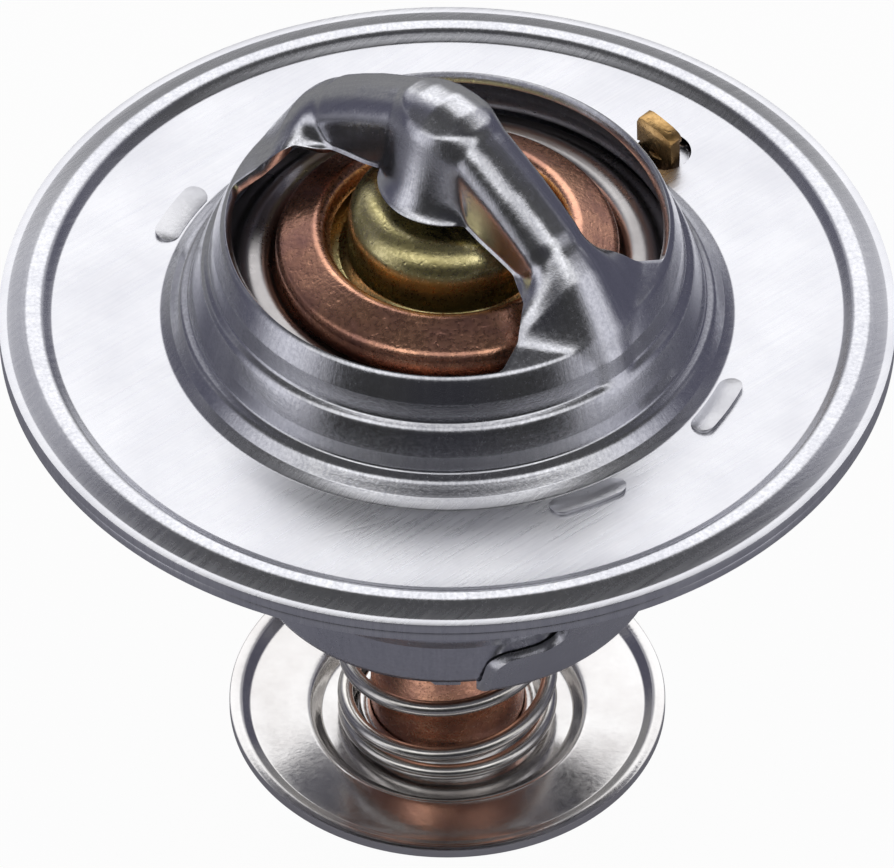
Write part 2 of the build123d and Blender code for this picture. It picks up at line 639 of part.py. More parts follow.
# --- Air bleed --------------------------------------------------------------------------------
def jiggle_pin():
    """Loose brass pin in the flange: a flattened head above and a bulb below that closes the hole."""
    bulb_top = LOWER_FACE_Z - JIGGLE_LIFT - JIGGLE_GAP
    stem = ring(0, JIGGLE_STEM_R, bulb_top - 1.0, JIGGLE_STEM_RISE)
    bulb = ring(0, JIGGLE_BULB_R, bulb_top - JIGGLE_BULB_HEIGHT, bulb_top)
    bulb = fillet(bulb.edges().group_by(Axis.Z)[0], 0.55 * JIGGLE_BULB_R)
    bulb = chamfer(bulb.edges().group_by(Axis.Z)[-1], 0.3 * JIGGLE_BULB_R)
    head = Box(PADDLE_THICK, PADDLE_WIDTH, PADDLE_HEIGHT, align=(Align.CENTER, Align.CENTER, Align.MIN))
    head = fillet(head.edges().filter_by(Axis.X).group_by(Axis.Z)[-1], PADDLE_ROUND)
    return JIGGLE_PLACE * (stem + bulb + Pos(-PADDLE_SHIFT, 0, 0) * head)


# --- All pieces -------------------------------------------------------------------------------
PIECES = [
    upper_frame,
    lower_cup,
    spring_carrier,
    valve_disc,
    element_can,
    element_guide,
    rubber_boot,
    backup_ring,
    wax_charge,
    piston,
    main_spring,
    bypass_spring_seat,
    bypass_spring,
    bypass_disc,
    retaining_ring,
    jiggle_pin,
]

os.makedirs("parts", exist_ok=True)
for piece in PIECES:
    write(piece.__name__, piece())
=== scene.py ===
import math

import bmesh
import bpy
import numpy as np
from mathutils import Matrix, Vector


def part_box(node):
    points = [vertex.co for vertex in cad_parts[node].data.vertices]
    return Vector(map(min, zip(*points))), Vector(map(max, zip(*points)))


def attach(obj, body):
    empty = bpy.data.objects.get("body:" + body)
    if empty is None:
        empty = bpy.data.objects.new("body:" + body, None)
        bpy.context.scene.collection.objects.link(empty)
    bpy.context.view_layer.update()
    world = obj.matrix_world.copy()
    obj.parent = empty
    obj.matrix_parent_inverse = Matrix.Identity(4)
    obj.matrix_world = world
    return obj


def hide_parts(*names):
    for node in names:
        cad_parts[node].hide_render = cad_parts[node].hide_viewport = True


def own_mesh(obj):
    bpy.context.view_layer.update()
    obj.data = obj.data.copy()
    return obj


# Engine thermostat insert: looks. Lengths in this script are millimetres until a mesh is made.
# The origin is the centre of the flange's upper face, +Z points to the bridge. The bridge runs
# along u, the direction at BRIDGE_TURN from +X, and w lies across it.

MM = 0.001
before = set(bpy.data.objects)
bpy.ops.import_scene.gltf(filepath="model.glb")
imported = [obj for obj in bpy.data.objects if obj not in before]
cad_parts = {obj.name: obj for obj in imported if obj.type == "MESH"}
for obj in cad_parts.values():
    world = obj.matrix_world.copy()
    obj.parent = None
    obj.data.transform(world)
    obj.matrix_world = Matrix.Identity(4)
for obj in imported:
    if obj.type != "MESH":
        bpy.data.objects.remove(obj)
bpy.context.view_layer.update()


def cad(node):
    """Lowest and highest corner of a CAD node, in millimetres."""
    low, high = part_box(node)
    return [1000 * v for v in low], [1000 * v for v in high]


# --- Sizes ---------------------------------------------------------------------------------------
SHEET = 0.8
BRIDGE_TURN = -45.0
FLANGE_R = cad("upper_frame")[1][0]
STRAP_TOP_Z = cad("upper_frame")[1][2]
LOWER_FACE_Z = -2 * SHEET
BELL_FOOT_R = 20.7
BELL_RIM_R = 15.2
BELL_RIM_Z = cad("lower_cup")[0][2]
BELL_DEPTH = LOWER_FACE_Z - BELL_RIM_Z

PIN_X, PIN_Y = [0.5 * (low + high) for low, high in zip(*cad("jiggle_pin"))][:2]
PIN_HOLE_R = 2.1
TAB_R = 22.6
TAB_ANGLE = 17.6
TAB_LENGTH = 6.2
TAB_OVERHANG = 0.8
TAB_FIT = 0.1

DISC_RIM_R = cad("valve_disc")[1][0]
DISC_RIM_Z = 4.28
CAN_R = 5.85
CAN_WALL = 0.8
CAN_FLARE = 1.0
CAN_END_Z = cad("element_can")[0][2]
COLLAR_R = cad("element_can")[1][0]
COLLAR_FLOOR_Z = 4.6
COLLAR_SHOULDER_Z = 7.2
COLLAR_LIP_R = 9.9
COLLAR_LIP_Z = cad("element_can")[1][2]
NOSE_R = 7.4
NOSE_ROUND = 2.6
NOSE_TOP_Z = cad("element_guide")[1][2]
GUIDE_END_Z = cad("element_guide")[0][2]
GUIDE_STEM_R = 3.4
PISTON_R = cad("piston")[1][0]

MAIN_SPRING_R, MAIN_WIRE, MAIN_TURNS = 12.4, 2.4, 5.0
BYPASS_SPRING_R, BYPASS_WIRE, BYPASS_TURNS, BYPASS_START = 7.8, 1.2, 4.75, 108.0
CLOSED_TURNS = 0.75
RAMP_TURNS = 0.75
COIL_STEPS = 96
WIRE_SIDES = 24

SEAT_LOW_Z, SEAT_TOP_Z = cad("bypass_spring_seat")[0][2], cad("bypass_spring_seat")[1][2]
SEAT_R = cad("bypass_spring_seat")[1][0]
BYPASS_R = cad("bypass_disc")[1][0]
BYPASS_FLOOR_Z = cad("bypass_disc")[0][2] + SHEET
BYPASS_FLAT_Z = BYPASS_FLOOR_Z + 1.0
BYPASS_RECESS_R = 9.6
BYPASS_BORE = CAN_R + 0.06
GROOVE_LOW_Z, GROOVE_HIGH_Z = cad("retaining_ring")[0][2], cad("retaining_ring")[1][2]
GROOVE_DEPTH = 0.35
RING_R = 8.4
RING_GAP = 2.0

VALVE_STROKE, BYPASS_LIFT = 8.0, 5.0

TURN_SEGMENTS = 256
SECTION_STEP = 0.6
EDGE_BREAK = 0.12
FINE_EDGE_BREAK = 0.1
CUP_EDGE_BREAK = 0.08

# Base colours of the metals.
STEEL_CLEAN = (0.84, 0.84, 0.87, 1)
STEEL_STAIN = (0.70, 0.70, 0.75, 1)
STEEL_WORKED = (0.47, 0.48, 0.54, 1)
COPPER_CLEAN = (0.98, 0.52, 0.34, 1)
COPPER_BROWN = (0.36, 0.16, 0.10, 1)
COPPER_VIOLET = (0.40, 0.21, 0.22, 1)
BRASS_CLEAN = (0.90, 0.80, 0.44, 1)
BRASS_OLIVE = (0.50, 0.43, 0.16, 1)
# The last brass colour is painted shade, for the pin's stem in the shadow of its hole.
BRASS_PAINTED_SHADE = (0.13, 0.06, 0.025, 1)

# The camera looks from the front at this height angle, in degrees, from far away.
VIEW_HEIGHT = 44.0
VIEW_DISTANCE = 1200.0
PIXELS_PER_MM = 13.30
IMAGE_WIDTH = 894
SENSOR_MM = 36.0
AIM_X, AIM_Z = -0.03, -12.85

# The lamps stand this far off, in metres. The floor is lower than the can's end by more than the stroke.
SOFTBOX_DISTANCE = 1.2
FLOOR_R = 160.0
FLOOR_ROOM = VALVE_STROKE + 0.5
# How much of the floor's own shading gives way to white for the eye, and to a dim glow for gloss.
FLOOR_WHITE_SHARE, FLOOR_DIM_SHARE = 0.96, 0.75
FLOOR_PALE, FLOOR_DIM = (0.85, 0.85, 0.86, 1), (0.10, 0.10, 0.13, 1)

# Colours of the world: what the camera sees, what lights the matt parts, and for gloss the shade
# that dims the strips ahead and the two ends of the side walls.
BACKDROP_WHITE = (1, 1, 1, 1)
ROOM_GREY = (0.42, 0.42, 0.43, 1)
STRIP_SHADE = (0.02, 0.02, 0.03, 1)
WALL_DARK, WALL_BRIGHT = (0.10, 0.10, 0.135, 1), (0.85, 0.85, 0.90, 1)

# Finishes of the CAD nodes that stay.
CAD_FINISHES = {"piston": "piston", "rubber_boot": "rubber", "backup_ring": "plastic", "wax_charge": "wax"}


# --- Meshes --------------------------------------------------------------------------------------
def new_object(name, mesh):
    """Link a mesh to the scene as one object at the origin."""
    thing = bpy.data.objects.new(name, mesh)
    bpy.context.scene.collection.objects.link(thing)
    return thing


def mesh_from(name, points, faces):
    """A mesh from points in millimetres."""
    mesh = bpy.data.meshes.new(name)
    mesh.from_pydata([tuple(MM * c for c in p) for p in points], [], faces)
    mesh.validate()
    mesh.update()
    return mesh


def finish_mesh(thing, sharp_degrees=40.0):
    """Smooth shading with edges kept sharp past an angle."""
    mesh = thing.data
    mesh.polygons.foreach_set("use_smooth", [True] * len(mesh.polygons))
    mesh.set_sharp_from_angle(angle=math.radians(sharp_degrees))
    return thing


# --- Outlines ------------------------------------------------------------------------------------
def rounded(points, right=0.9, left=0.3, step=0.12):
    """An open path with rounded corners; corners that turn right and left have their own radius."""
    corners = [np.array(p, float) for p in points]
    path = [corners[0]]
    for a, b, c in zip(corners, corners[1:], corners[2:]):
        before = (b - a) / np.linalg.norm(b - a)
        after = (c - b) / np.linalg.norm(c - b)
        cross = before[0] * after[1] - before[1] * after[0]
        turn = math.acos(np.clip(before @ after, -1, 1))
        if turn < 0.001:
            path.append(b)
            continue
        side = -1 if cross < 0 else 1
        reach = (right if cross < 0 else left) * math.tan(turn / 2)
        reach = min(reach, 0.49 * np.linalg.norm(b - a), 0.49 * np.linalg.norm(c - b))
        radius = reach / math.tan(turn / 2)
        arm = side * np.array([before[1], -before[0]]) * radius
        centre = b - before * reach - arm
        count = max(3, math.ceil(radius * turn / step))
        for i in range(count + 1):
            angle = side * turn * i / count
            spin = np.array([[math.cos(angle), -math.sin(angle)], [math.sin(angle), math.cos(angle)]])
            path.append(centre + spin @ arm)
    path.append(corners[-1])
    return np.array(path)


def filled(path, longest):
    """The same path with its long straight runs divided."""
    points = [path[0]]
    for a, b in zip(path, path[1:]):
        count = max(1, math.ceil(np.linalg.norm(b - a) / longest))
        points += [a + (b - a) * i / count for i in range(1, count + 1)]
    return np.array(points)


def arc_points(centre, radius, start, end, steps):
    """Points along an arc, both ends included; angles in radians."""
    x, y = centre
    angles = [start + (end - start) * i / steps for i in range(steps + 1)]
    return [(x + radius * math.cos(a), y + radius * math.sin(a)) for a in angles]


def normals_of(path):
    """Unit normals to the left of an open path, averaged at its points."""
    runs = np.diff(path, axis=0)
    runs /= np.linalg.norm(runs, axis=1)[:, None]
    runs = np.vstack([runs[:1], runs, runs[-1:]])
    mean = runs[:-1] + runs[1:]
    mean /= np.linalg.norm(mean, axis=1)[:, None]
    return np.stack([-mean[:, 1], mean[:, 0]], 1)


def distance_to_path(points, path):
    """Signed distance of 2-D points from an open path, positive on its left."""
    a, b = path[:-1], path[1:]
    run = b - a
    length = (run**2).sum(1)
    off = points[:, None, :] - a[None]
    along = np.clip((off * run[None]).sum(2) / length[None], 0, 1)
    gap = off - along[:, :, None] * run[None]
    squared = (gap**2).sum(2)
    nearest = squared.argmin(1)
    pick = np.arange(len(points)), nearest
    side = run[nearest, 0] * off[pick][:, 1] - run[nearest, 1] * off[pick][:, 0]
    return np.sqrt(squared[pick]) * np.where(side >= 0, 1, -1)


# --- Upper frame ---------------------------------------------------------------------------------
BEAD_IN, BEAD_OUT, BEAD_HEIGHT = 29.55, 32.9, 0.6
DOME_FOOT_R = 20.7
RIM_R, RIM_Z = 16.8, 8.8
CAP_TOP_Z = 13.4
CAP_RADIUS = (RIM_R**2 + (CAP_TOP_Z - RIM_Z) ** 2) / (2 * (CAP_TOP_Z - RIM_Z))
WINDOW_R = 16.5
STRAP_HALF, STRAP_LIP = 2.6, 0.15
STRAP_ROUND = 2.3
POLE_DEPTH = 0.9
FLARE_U = 9.6
LEG_ANGLE = 31.0
CORNER_R = 0.8
SOCKET_FOOT_R, SOCKET_TOP_R, SOCKET_FOOT_Z, SOCKET_TOP_Z = 5.0, 2.75, 12.6, 19.7
SOCKET_EDGE_ROOM = 0.2
BISECTIONS = 26
CREST_ROOM = 0.17
# Distances from the axis between which the strap changes from one form to the next.
PAST_SOCKET, NEAR_LEG = (3.8, 5.4), (9.9, 13.8)
FROM_LEVEL, FROM_UPRIGHT, TO_WALL = (6.5, 10.0), (12, 16), (11.0, WINDOW_R)
# How widely two bodies of the sheet run into each other.
SOCKET_CREASE, STRAP_CREASE, STRAP_SOCKET_CREASE, STRAP_LEG_CREASE = 1.8, 0.4, 1.5, 5.0
# The strap's ridge: distance from the axis, and drop below its top.
RIDGE = [
    (0, 0),
    (2.0, 0.3),
    (3.7, 0.95),
    (5.0, 1.6),
    (6.7, 2.55),
    (8.3, 3.45),
    (10.2, 4.7),
    (11.8, 5.85),
    (12.9, 6.95),
    (14.5, 9.2),
    (16.0, 11.5),
    (16.8, 12.8),
]
RIDGE_FOOT = [(17.6, 7.0), (18.0, 5.0)]
LEVEL_STEP = 1.3


def cap_height(r):
    """Height of the cap's outside over the flange, at a distance from the axis."""
    return CAP_TOP_Z - CAP_RADIUS + np.sqrt(CAP_RADIUS**2 - r**2)


def dome_path():
    """Outside of the sheet from the cap's middle, over the rim and down to the flange's edge, in (r, z)."""
    foot = DOME_FOOT_R
    width = BEAD_OUT - BEAD_IN
    cap = [(r, cap_height(r)) for r in np.linspace(0, RIM_R - 1.0, 20)]
    corners = cap[-1:] + [
        (RIM_R, RIM_Z),
        (RIM_R + 0.65, RIM_Z - 1.8),
        (foot - 2.95, 5.4),
        (foot - 2.35, 5.0),
        (foot - 1.7, 3.0),
        (foot - 1.45, 1.75),
        (foot - 0.75, 1.45),
        (foot, 0.55),
        (foot + 0.75, 0),
        (BEAD_IN, 0),
        (BEAD_IN + 0.25 * width, BEAD_HEIGHT),
        (BEAD_OUT - 0.45 * width, BEAD_HEIGHT),
        (BEAD_OUT, 0),
        (FLANGE_R, 0),
    ]
    return np.vstack([cap[:-1], rounded(corners, right=1.0, left=0.35)])


def smooth_lower(a, b, reach):
    """Smooth minimum of two distances, which rounds the crease between two bodies."""
    mix = np.maximum(reach - np.abs(a - b), 0) / reach
    return np.minimum(a, b) - 0.25 * reach * mix**2


def eased(value, start, end):
    """0 before start, 1 after end, smooth between."""
    t = np.clip((value - start) / (end - start), 0, 1)
    return t * t * (3 - 2 * t)


def crease_reach(r):
    """How widely the strap runs into its neighbours: softly at the socket and the legs, crisply between."""
    at_socket = STRAP_SOCKET_CREASE * (1 - eased(r, *PAST_SOCKET))
    at_leg = STRAP_LEG_CREASE * eased(r, *NEAR_LEG) * np.clip((RIM_R + 0.6 - r) / 3.0, 0, 1)
    return STRAP_CREASE + at_socket + at_leg


def frame_field(points, profile, ridge):
    """Signed distance, about, from the outside of the dome with its strap and socket, in (u, w, z)."""
    u, w, z = points.T
    r = np.hypot(u, w)
    dome = distance_to_path(np.stack([r, z], 1), profile)
    over = distance_to_path(np.stack([np.abs(u), z], 1), ridge)
    across = np.maximum(np.abs(w) - (STRAP_HALF - STRAP_ROUND), 0)
    depth = over + STRAP_ROUND
    strap = np.minimum(np.maximum(across, depth), 0) + np.hypot(across, np.maximum(depth, 0)) - STRAP_ROUND
    slope = (SOCKET_FOOT_R - SOCKET_TOP_R) / (SOCKET_TOP_Z - SOCKET_FOOT_Z)
    cone_r = SOCKET_TOP_R + slope * (SOCKET_TOP_Z - z)
    socket = np.maximum((r - cone_r) / math.hypot(1, slope), z - SOCKET_TOP_Z)
    body = smooth_lower(dome, socket, SOCKET_CREASE)
    return smooth_lower(body, strap, crease_reach(r))


def onto_field(start, direction, profile, ridge, near=-2.5, far=12.0):
    """Where rays leave the body: the points start + t * direction at which the field is zero."""
    low = np.full(len(start), near)
    high = np.full(len(start), far)
    for _ in range(BISECTIONS):
        middle = 0.5 * (low + high)
        inside = frame_field(start + middle[:, None] * direction, profile, ridge) < 0
        low = np.where(inside, middle, low)
        high = np.where(inside, high, middle)
    return start + (0.5 * (low + high))[:, None] * direction


def window_edge():
    """Edge of one window in (u, w), from beside the socket along the strap and leg to the rim circle."""
    edge_w = STRAP_HALF + STRAP_LIP
    socket_r = SOCKET_FOOT_R + SOCKET_EDGE_ROOM
    beside = math.acos(edge_w / socket_r)
    arc = [(socket_r * math.sin(a), socket_r * math.cos(a)) for a in np.linspace(0, beside, 14)]
    turn = math.radians(LEG_ANGLE)
    past = turn + 1.5 * CORNER_R / WINDOW_R
    bow = [(FLARE_U, edge_w), (FLARE_U + 2.4, edge_w + 1.35), (FLARE_U + 3.9, edge_w + 3.4)]
    corner, end = [(WINDOW_R * math.cos(a), WINDOW_R * math.sin(a)) for a in (turn, past)]
    side = rounded([arc[-1], *bow, corner, end], right=3.0, left=CORNER_R, step=0.1)[:-1]
    side[-1] *= WINDOW_R / np.linalg.norm(side[-1])
    return np.vstack([arc[:-1], side])


def spaced(path, count):
    """A path resampled to evenly spaced points."""
    length = np.concatenate([[0], np.cumsum(np.linalg.norm(np.diff(path, axis=0), axis=1))])
    at = np.linspace(0, length[-1], count)
    return np.stack([np.interp(at, length, path[:, i]) for i in range(path.shape[1])], 1)


def polar(radius, angle):
    """Points in a plane from distances and angles."""
    return np.stack([radius * np.cos(angle), radius * np.sin(angle)], 1)


def strap_station(edge_point, mid, side, profile, normals):
    """One row of rays across the strap: where they aim on the dome, and their directions."""
    edge_u, edge_w = edge_point
    level = np.stack([mid - (mid - edge_u) * side**2, edge_w * side], 1)
    edge_r, edge_angle = math.hypot(edge_u, edge_w), math.atan2(edge_w, edge_u)
    curved = polar(mid + (edge_r - mid) * side**2, edge_angle * side)
    mix = eased(mid, *FROM_LEVEL)
    plan = (1 - mix) * level + mix * curved
    r = np.hypot(plan[:, 0], plan[:, 1])
    target = np.column_stack([plan, np.interp(r, profile[:, 0], profile[:, 1])])
    pole = np.array([mid, 0, cap_height(mid) - POLE_DEPTH * edge_w])
    ray = (target - pole) / np.linalg.norm(target - pole, axis=1)[:, None]
    upright = np.abs(side[:, None]) ** 6 * (1 - eased(mid, *FROM_UPRIGHT))
    ray = (1 - upright) * ray + upright * np.array([0, 0, 1.0])
    out = np.stack([np.interp(r, profile[:, 0], normals[:, i]) for i in (0, 1)], 1)
    wall = np.column_stack([plan / np.maximum(r, 1e-6)[:, None] * out[:, :1], out[:, 1]])
    lean = eased(mid, *TO_WALL)
    ray = (1 - lean) * ray + lean * wall
    return target, ray / np.linalg.norm(ray, axis=1)[:, None]


def strap_grid(profile, ridge, stations, columns):
    """Half the strap, from the axis to the rim circle: an array [station, column, (u, w, z)]."""
    edge = spaced(window_edge(), stations)
    share = np.linspace(0, 1, stations)
    flare = int(np.argmax(edge[:, 0] >= FLARE_U))
    middle_u = edge[:, 0].copy()
    middle_u[flare:] = FLARE_U + (WINDOW_R - FLARE_U) * (share[flare:] - share[flare]) / (1 - share[flare])
    normals = normals_of(profile)
    opening = math.atan(1 / POLE_DEPTH)
    side = np.tan(opening * np.linspace(-1, 1, columns)) / math.tan(opening)
    rows = [strap_station(point, mid, side, profile, normals) for point, mid in zip(edge, middle_u)]
    starts, rays = zip(*rows)
    found = onto_field(np.vstack(starts), np.vstack(rays), profile, ridge)
    return evened(found.reshape(stations, columns, 3), side)


def evened(grid, side, passes=14):
    """Even out the height of the strap's outer columns along its length, up to the rim."""
    along = np.linspace(0, 1, len(grid))[1:-1]
    share = eased(np.abs(side), 0.75, 0.97) * (1 - eased(along, 0.78, 0.9))[:, None]
    for _ in range(passes):
        height = grid[:, :, 2]
        mean = 0.25 * height[:-2] + 0.5 * height[1:-1] + 0.25 * height[2:]
        grid[1:-1, :, 2] += share * (mean - height[1:-1])
    return grid


def grid_faces(rows, columns):
    """Four-cornered faces of a grid of points."""
    first = [i * columns + j for i in range(rows - 1) for j in range(columns - 1)]
    return [(a, a + columns, a + columns + 1, a + 1) for a in first]


def wall_stations(profile, rim_z):
    """The dome's outside from the rim circle outward, in (r, z), with wider steps where it is level."""
    outer = profile[profile[:, 0] > WINDOW_R + 0.05]
    dense = filled(np.vstack([[(WINDOW_R, rim_z)], outer]), 0.45)[1:]
    keep = [0]
    for i in range(1, len(dense)):
        last = i + 1 == len(dense)
        level = not last and max(abs(dense[i][1] - dense[j][1]) for j in (keep[-1], i + 1)) < 1e-4
        if level and np.linalg.norm(dense[i] - dense[keep[-1]]) < LEVEL_STEP:
            continue
        keep.append(i)
    return dense[keep]


def rim_circle(strap, columns, window_columns, rim_z):
    """The rim circle from the right leg round: its loop, its new points and its leg angle."""
    leg_angle = math.atan2(strap[-1, -1, 1], strap[-1, -1, 0])
    gap = (math.pi - 2 * leg_angle) / window_columns
    count = strap.shape[0] * columns
    right = [count - columns + j for j in range(columns)]
    left = list(range(columns))[::-1]
    loop, points = [], []
    for leg, turn in ((right, 0.0), (left, math.pi)):
        angles = turn + leg_angle + gap * np.arange(1, window_columns)
        points.append(np.column_stack([polar(WINDOW_R, angles), 0 * angles + rim_z]))
        loop += leg + list(range(count, count + len(angles)))
        count += len(angles)
    return loop, np.vstack(points), leg_angle


def upper_frame_skin(stations=84, columns=57, window_columns=72):
    """Points in (u, w, z) and faces of the upper sheet's outside."""
    profile = dome_path()
    top_z = STRAP_TOP_Z - CREST_ROOM
    ridge = np.array([(-1.0, top_z)] + [(u, top_z - drop) for u, drop in RIDGE] + RIDGE_FOOT)
    half = strap_grid(profile, ridge, stations, columns)
    strap = np.vstack([half[1:][::-1] * np.array([-1, 1, 1]), half])
    faces = grid_faces(len(strap), columns)
    rim_z = np.interp(WINDOW_R, profile[:, 0], profile[:, 1])
    loop, circle, leg_angle = rim_circle(strap, columns, window_columns, rim_z)
    points = [strap.reshape(-1, 3), circle]
    count = len(points[0]) + len(circle)
    first = np.vstack(points)[loop]
    angles = np.arctan2(first[:, 1], first[:, 0])
    walls = wall_stations(profile, rim_z)
    normals = normals_of(np.vstack([[(WINDOW_R, rim_z)], walls]))[1:]
    at_leg = np.array([abs(math.cos(a)) > math.cos(leg_angle) for a in angles])
    for (r, z), normal in zip(walls, normals):
        ring = np.column_stack([polar(r, angles), np.full(len(angles), z)])
        if r < RIM_R + 1.4:
            away = np.column_stack([polar(normal[0], angles), np.full(len(angles), normal[1])])
            ring[at_leg] = onto_field(ring[at_leg], away[at_leg], profile, ridge, near=-0.6, far=2.0)
        points.append(ring)
        below = list(range(count, count + len(ring)))
        count += len(ring)
        faces += zip(loop, below, below[1:] + below[:1], loop[1:] + loop[:1])
        loop = below
    return np.vstack(points), faces


def thickened(points, faces, wall):
    """A sheet of even thickness under a skin: its points and faces, edges closed."""
    quads = np.array(faces)
    a, b, c, d = (points[quads[:, i]] for i in range(4))
    across = np.cross(c - a, d - b)
    normals = np.zeros_like(points)
    for i in range(4):
        np.add.at(normals, quads[:, i], across)
    normals /= np.linalg.norm(normals, axis=1)[:, None]
    size = len(points)
    sheet = np.vstack([points, points - wall * normals])
    closed = list(faces) + [tuple(v + size for v in reversed(face)) for face in faces]
    edges = dict.fromkeys(edge for face in faces for edge in zip(face, face[1:] + face[:1]))
    closed += [(w, v, v + size, w + size) for v, w in edges if (w, v) not in edges]
    return sheet, closed


def turned_to_xyz(points):
    """Points in (u, w, z) turned into the part's X, Y, Z."""
    turn = math.radians(BRIDGE_TURN)
    spin = np.array([[math.cos(turn), -math.sin(turn), 0], [math.sin(turn), math.cos(turn), 0], [0, 0, 1]])
    return points @ spin.T


def upper_frame(tool, finish):
    """Flange, dome and bridge, drawn from one sheet."""
    points, faces = thickened(*upper_frame_skin(), SHEET)
    sheet = new_object("upper_frame_sheet", mesh_from("upper_frame_sheet", turned_to_xyz(points), faces))
    eased_edges(combined(sheet, tool, "DIFFERENCE", "FAST"), EDGE_BREAK)
    finish_mesh(sheet)
    return piece_for(sheet, "upper_frame", "frame", "drawn_steel", finish)


# --- Turned pieces -------------------------------------------------------------------------------
def to_the_right(path, distance):
    """An open path moved to its right by a distance."""
    return path - distance * normals_of(path)


def sheet_outline(points, wall, right=0.9, left=0.3):
    """Closed outline in (r, z) of a bent sheet: one face follows the points, the other is on their right."""
    outer = filled(rounded(points, right, left), SECTION_STEP)
    return np.vstack([outer, to_the_right(outer, wall)[::-1]])


def turned_mesh(name, outline, segments=TURN_SEGMENTS, start=0.0, end=360.0):
    """A closed outline in (r, z) turned about the axis, all the way round or from one angle to another."""
    area = 0.5 * sum(a[0] * b[1] - b[0] * a[1] for a, b in zip(outline, np.roll(outline, -1, axis=0)))
    if area < 0:
        outline = outline[::-1]
    whole = end - start >= 360.0
    stations = segments if whole else segments + 1
    angles = np.radians(np.linspace(start, end, segments + 1)[:stations])
    points, rows = [], []
    for r, z in outline:
        if r < 1e-6:
            rows.append([len(points)] * stations)
            points.append((0, 0, z))
        else:
            rows.append(list(range(len(points), len(points) + stations)))
            points += [(r * math.cos(a), r * math.sin(a), z) for a in angles]
    faces = []
    for low, high in zip(rows, rows[1:] + rows[:1]):
        for j in range(segments):
            k = (j + 1) % stations
            face = tuple(dict.fromkeys([low[j], low[k], high[k], high[j]]))
            if len(face) > 2:
                faces.append(face)
    if not whole:
        faces.append(tuple(row[0] for row in rows))
        faces.append(tuple(row[-1] for row in reversed(rows)))
    return mesh_from(name, points, faces)


def piece_for(thing, node, body, slot, finish):
    """Put a finished piece in place of a CAD node, on its body, with its material."""
    thing.data.materials.clear()
    thing.data.materials.append(finish)
    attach(thing, body)
    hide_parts(node)
    return thing


def applied(thing):
    """The piece with its modifiers applied."""
    graph = bpy.context.evaluated_depsgraph_get()
    mesh = bpy.data.meshes.new_from_object(thing.evaluated_get(graph))
    thing.modifiers.clear()
    thing.data = mesh
    return thing


def combined(thing, other, operation, solver):
    """The piece with another solid cut out of it or joined to it."""
    modifier = thing.modifiers.new("combined", "BOOLEAN")
    modifier.operation = operation
    modifier.solver = solver
    modifier.object = other
    return applied(thing)


def eased_edges(thing, width, degrees=50.0):
    """Break the sharp edges of a piece with a small bevel."""
    bevel = thing.modifiers.new("edges", "BEVEL")
    bevel.limit_method = "ANGLE"
    bevel.angle_limit = math.radians(degrees)
    bevel.width = MM * width
    bevel.segments = 2
    return applied(thing)


def turned_piece(name, outline, place, finish, edge=EDGE_BREAK, sharp_degrees=40.0, **arc):
    """A turned piece, its edges broken; place is the CAD node that it replaces, its body and its slot, which
    is not used.
    """
    thing = new_object(name, turned_mesh(name, outline, **arc))
    if edge:
        eased_edges(thing, edge)
    finish_mesh(thing, sharp_degrees)
    return piece_for(thing, *place, finish)


# --- Lower cup -----------------------------------------------------------------------------------
def bell_corners():
    """Outside of the lower sheet from the flange's edge to the bell's open rim, in (r, z)."""
    return [
        (FLANGE_R, LOWER_FACE_Z),
        (BELL_FOOT_R + 0.7, LOWER_FACE_Z),
        (BELL_FOOT_R, LOWER_FACE_Z - 0.7),
        (BELL_FOOT_R - 1.9, LOWER_FACE_Z - 0.37 * BELL_DEPTH),
        (BELL_RIM_R + 1.95, BELL_RIM_Z + 6.2),
        (BELL_RIM_R + 1.35, BELL_RIM_Z + 4.9),
        (BELL_RIM_R + 0.65, BELL_RIM_Z + 2.1),
        (BELL_RIM_R, BELL_RIM_Z),
    ]


def punches():
    """Solid tools for what is punched through both flanges: the pin's hole and four slots for the tabs."""
    tools = bmesh.new()
    depth = 6 * SHEET * MM
    spot = Matrix.Translation((MM * PIN_X, MM * PIN_Y, 0))
    hole_r = MM * PIN_HOLE_R
    radii = {"radius1": hole_r, "radius2": hole_r}
    bmesh.ops.create_cone(tools, cap_ends=True, segments=72, depth=depth, matrix=spot, **radii)
    half = 0.5 * (TAB_LENGTH - TAB_OVERHANG - SHEET) / TAB_R
    for side in (0, 180):
        for turn in (-TAB_ANGLE, TAB_ANGLE):
            middle = math.radians(BRIDGE_TURN + side + turn)
            outline = slot_outline(middle - half, middle + half, TAB_R, 0.5 * (SHEET + TAB_FIT))
            ring = [tools.verts.new((MM * x, MM * y, -0.5 * depth)) for x, y in outline]
            floor = tools.faces.new(ring)
            top = bmesh.ops.extrude_face_region(tools, geom=[floor])["geom"]
            lifted = [v for v in top if isinstance(v, bmesh.types.BMVert)]
            bmesh.ops.translate(tools, verts=lifted, vec=(0, 0, depth))
    bmesh.ops.recalc_face_normals(tools, faces=tools.faces)
    mesh = bpy.data.meshes.new("punches")
    tools.to_mesh(mesh)
    tools.free()
    return new_object("punches", mesh)


def slot_outline(start, end, radius, half_width, steps=10):
    """Corners of a slot along an arc about the axis, with round ends, in (x, y)."""
    end_spot, start_spot = [(radius * math.cos(a), radius * math.sin(a)) for a in (end, start)]
    outline = arc_points((0, 0), radius + half_width, start, end, steps)
    outline += arc_points(end_spot, half_width, end, end + math.pi, steps)[1:-1]
    outline += arc_points((0, 0), radius - half_width, end, start, steps)
    outline += arc_points(start_spot, half_width, start + math.pi, start + 2 * math.pi, steps)[1:-1]
    return outline


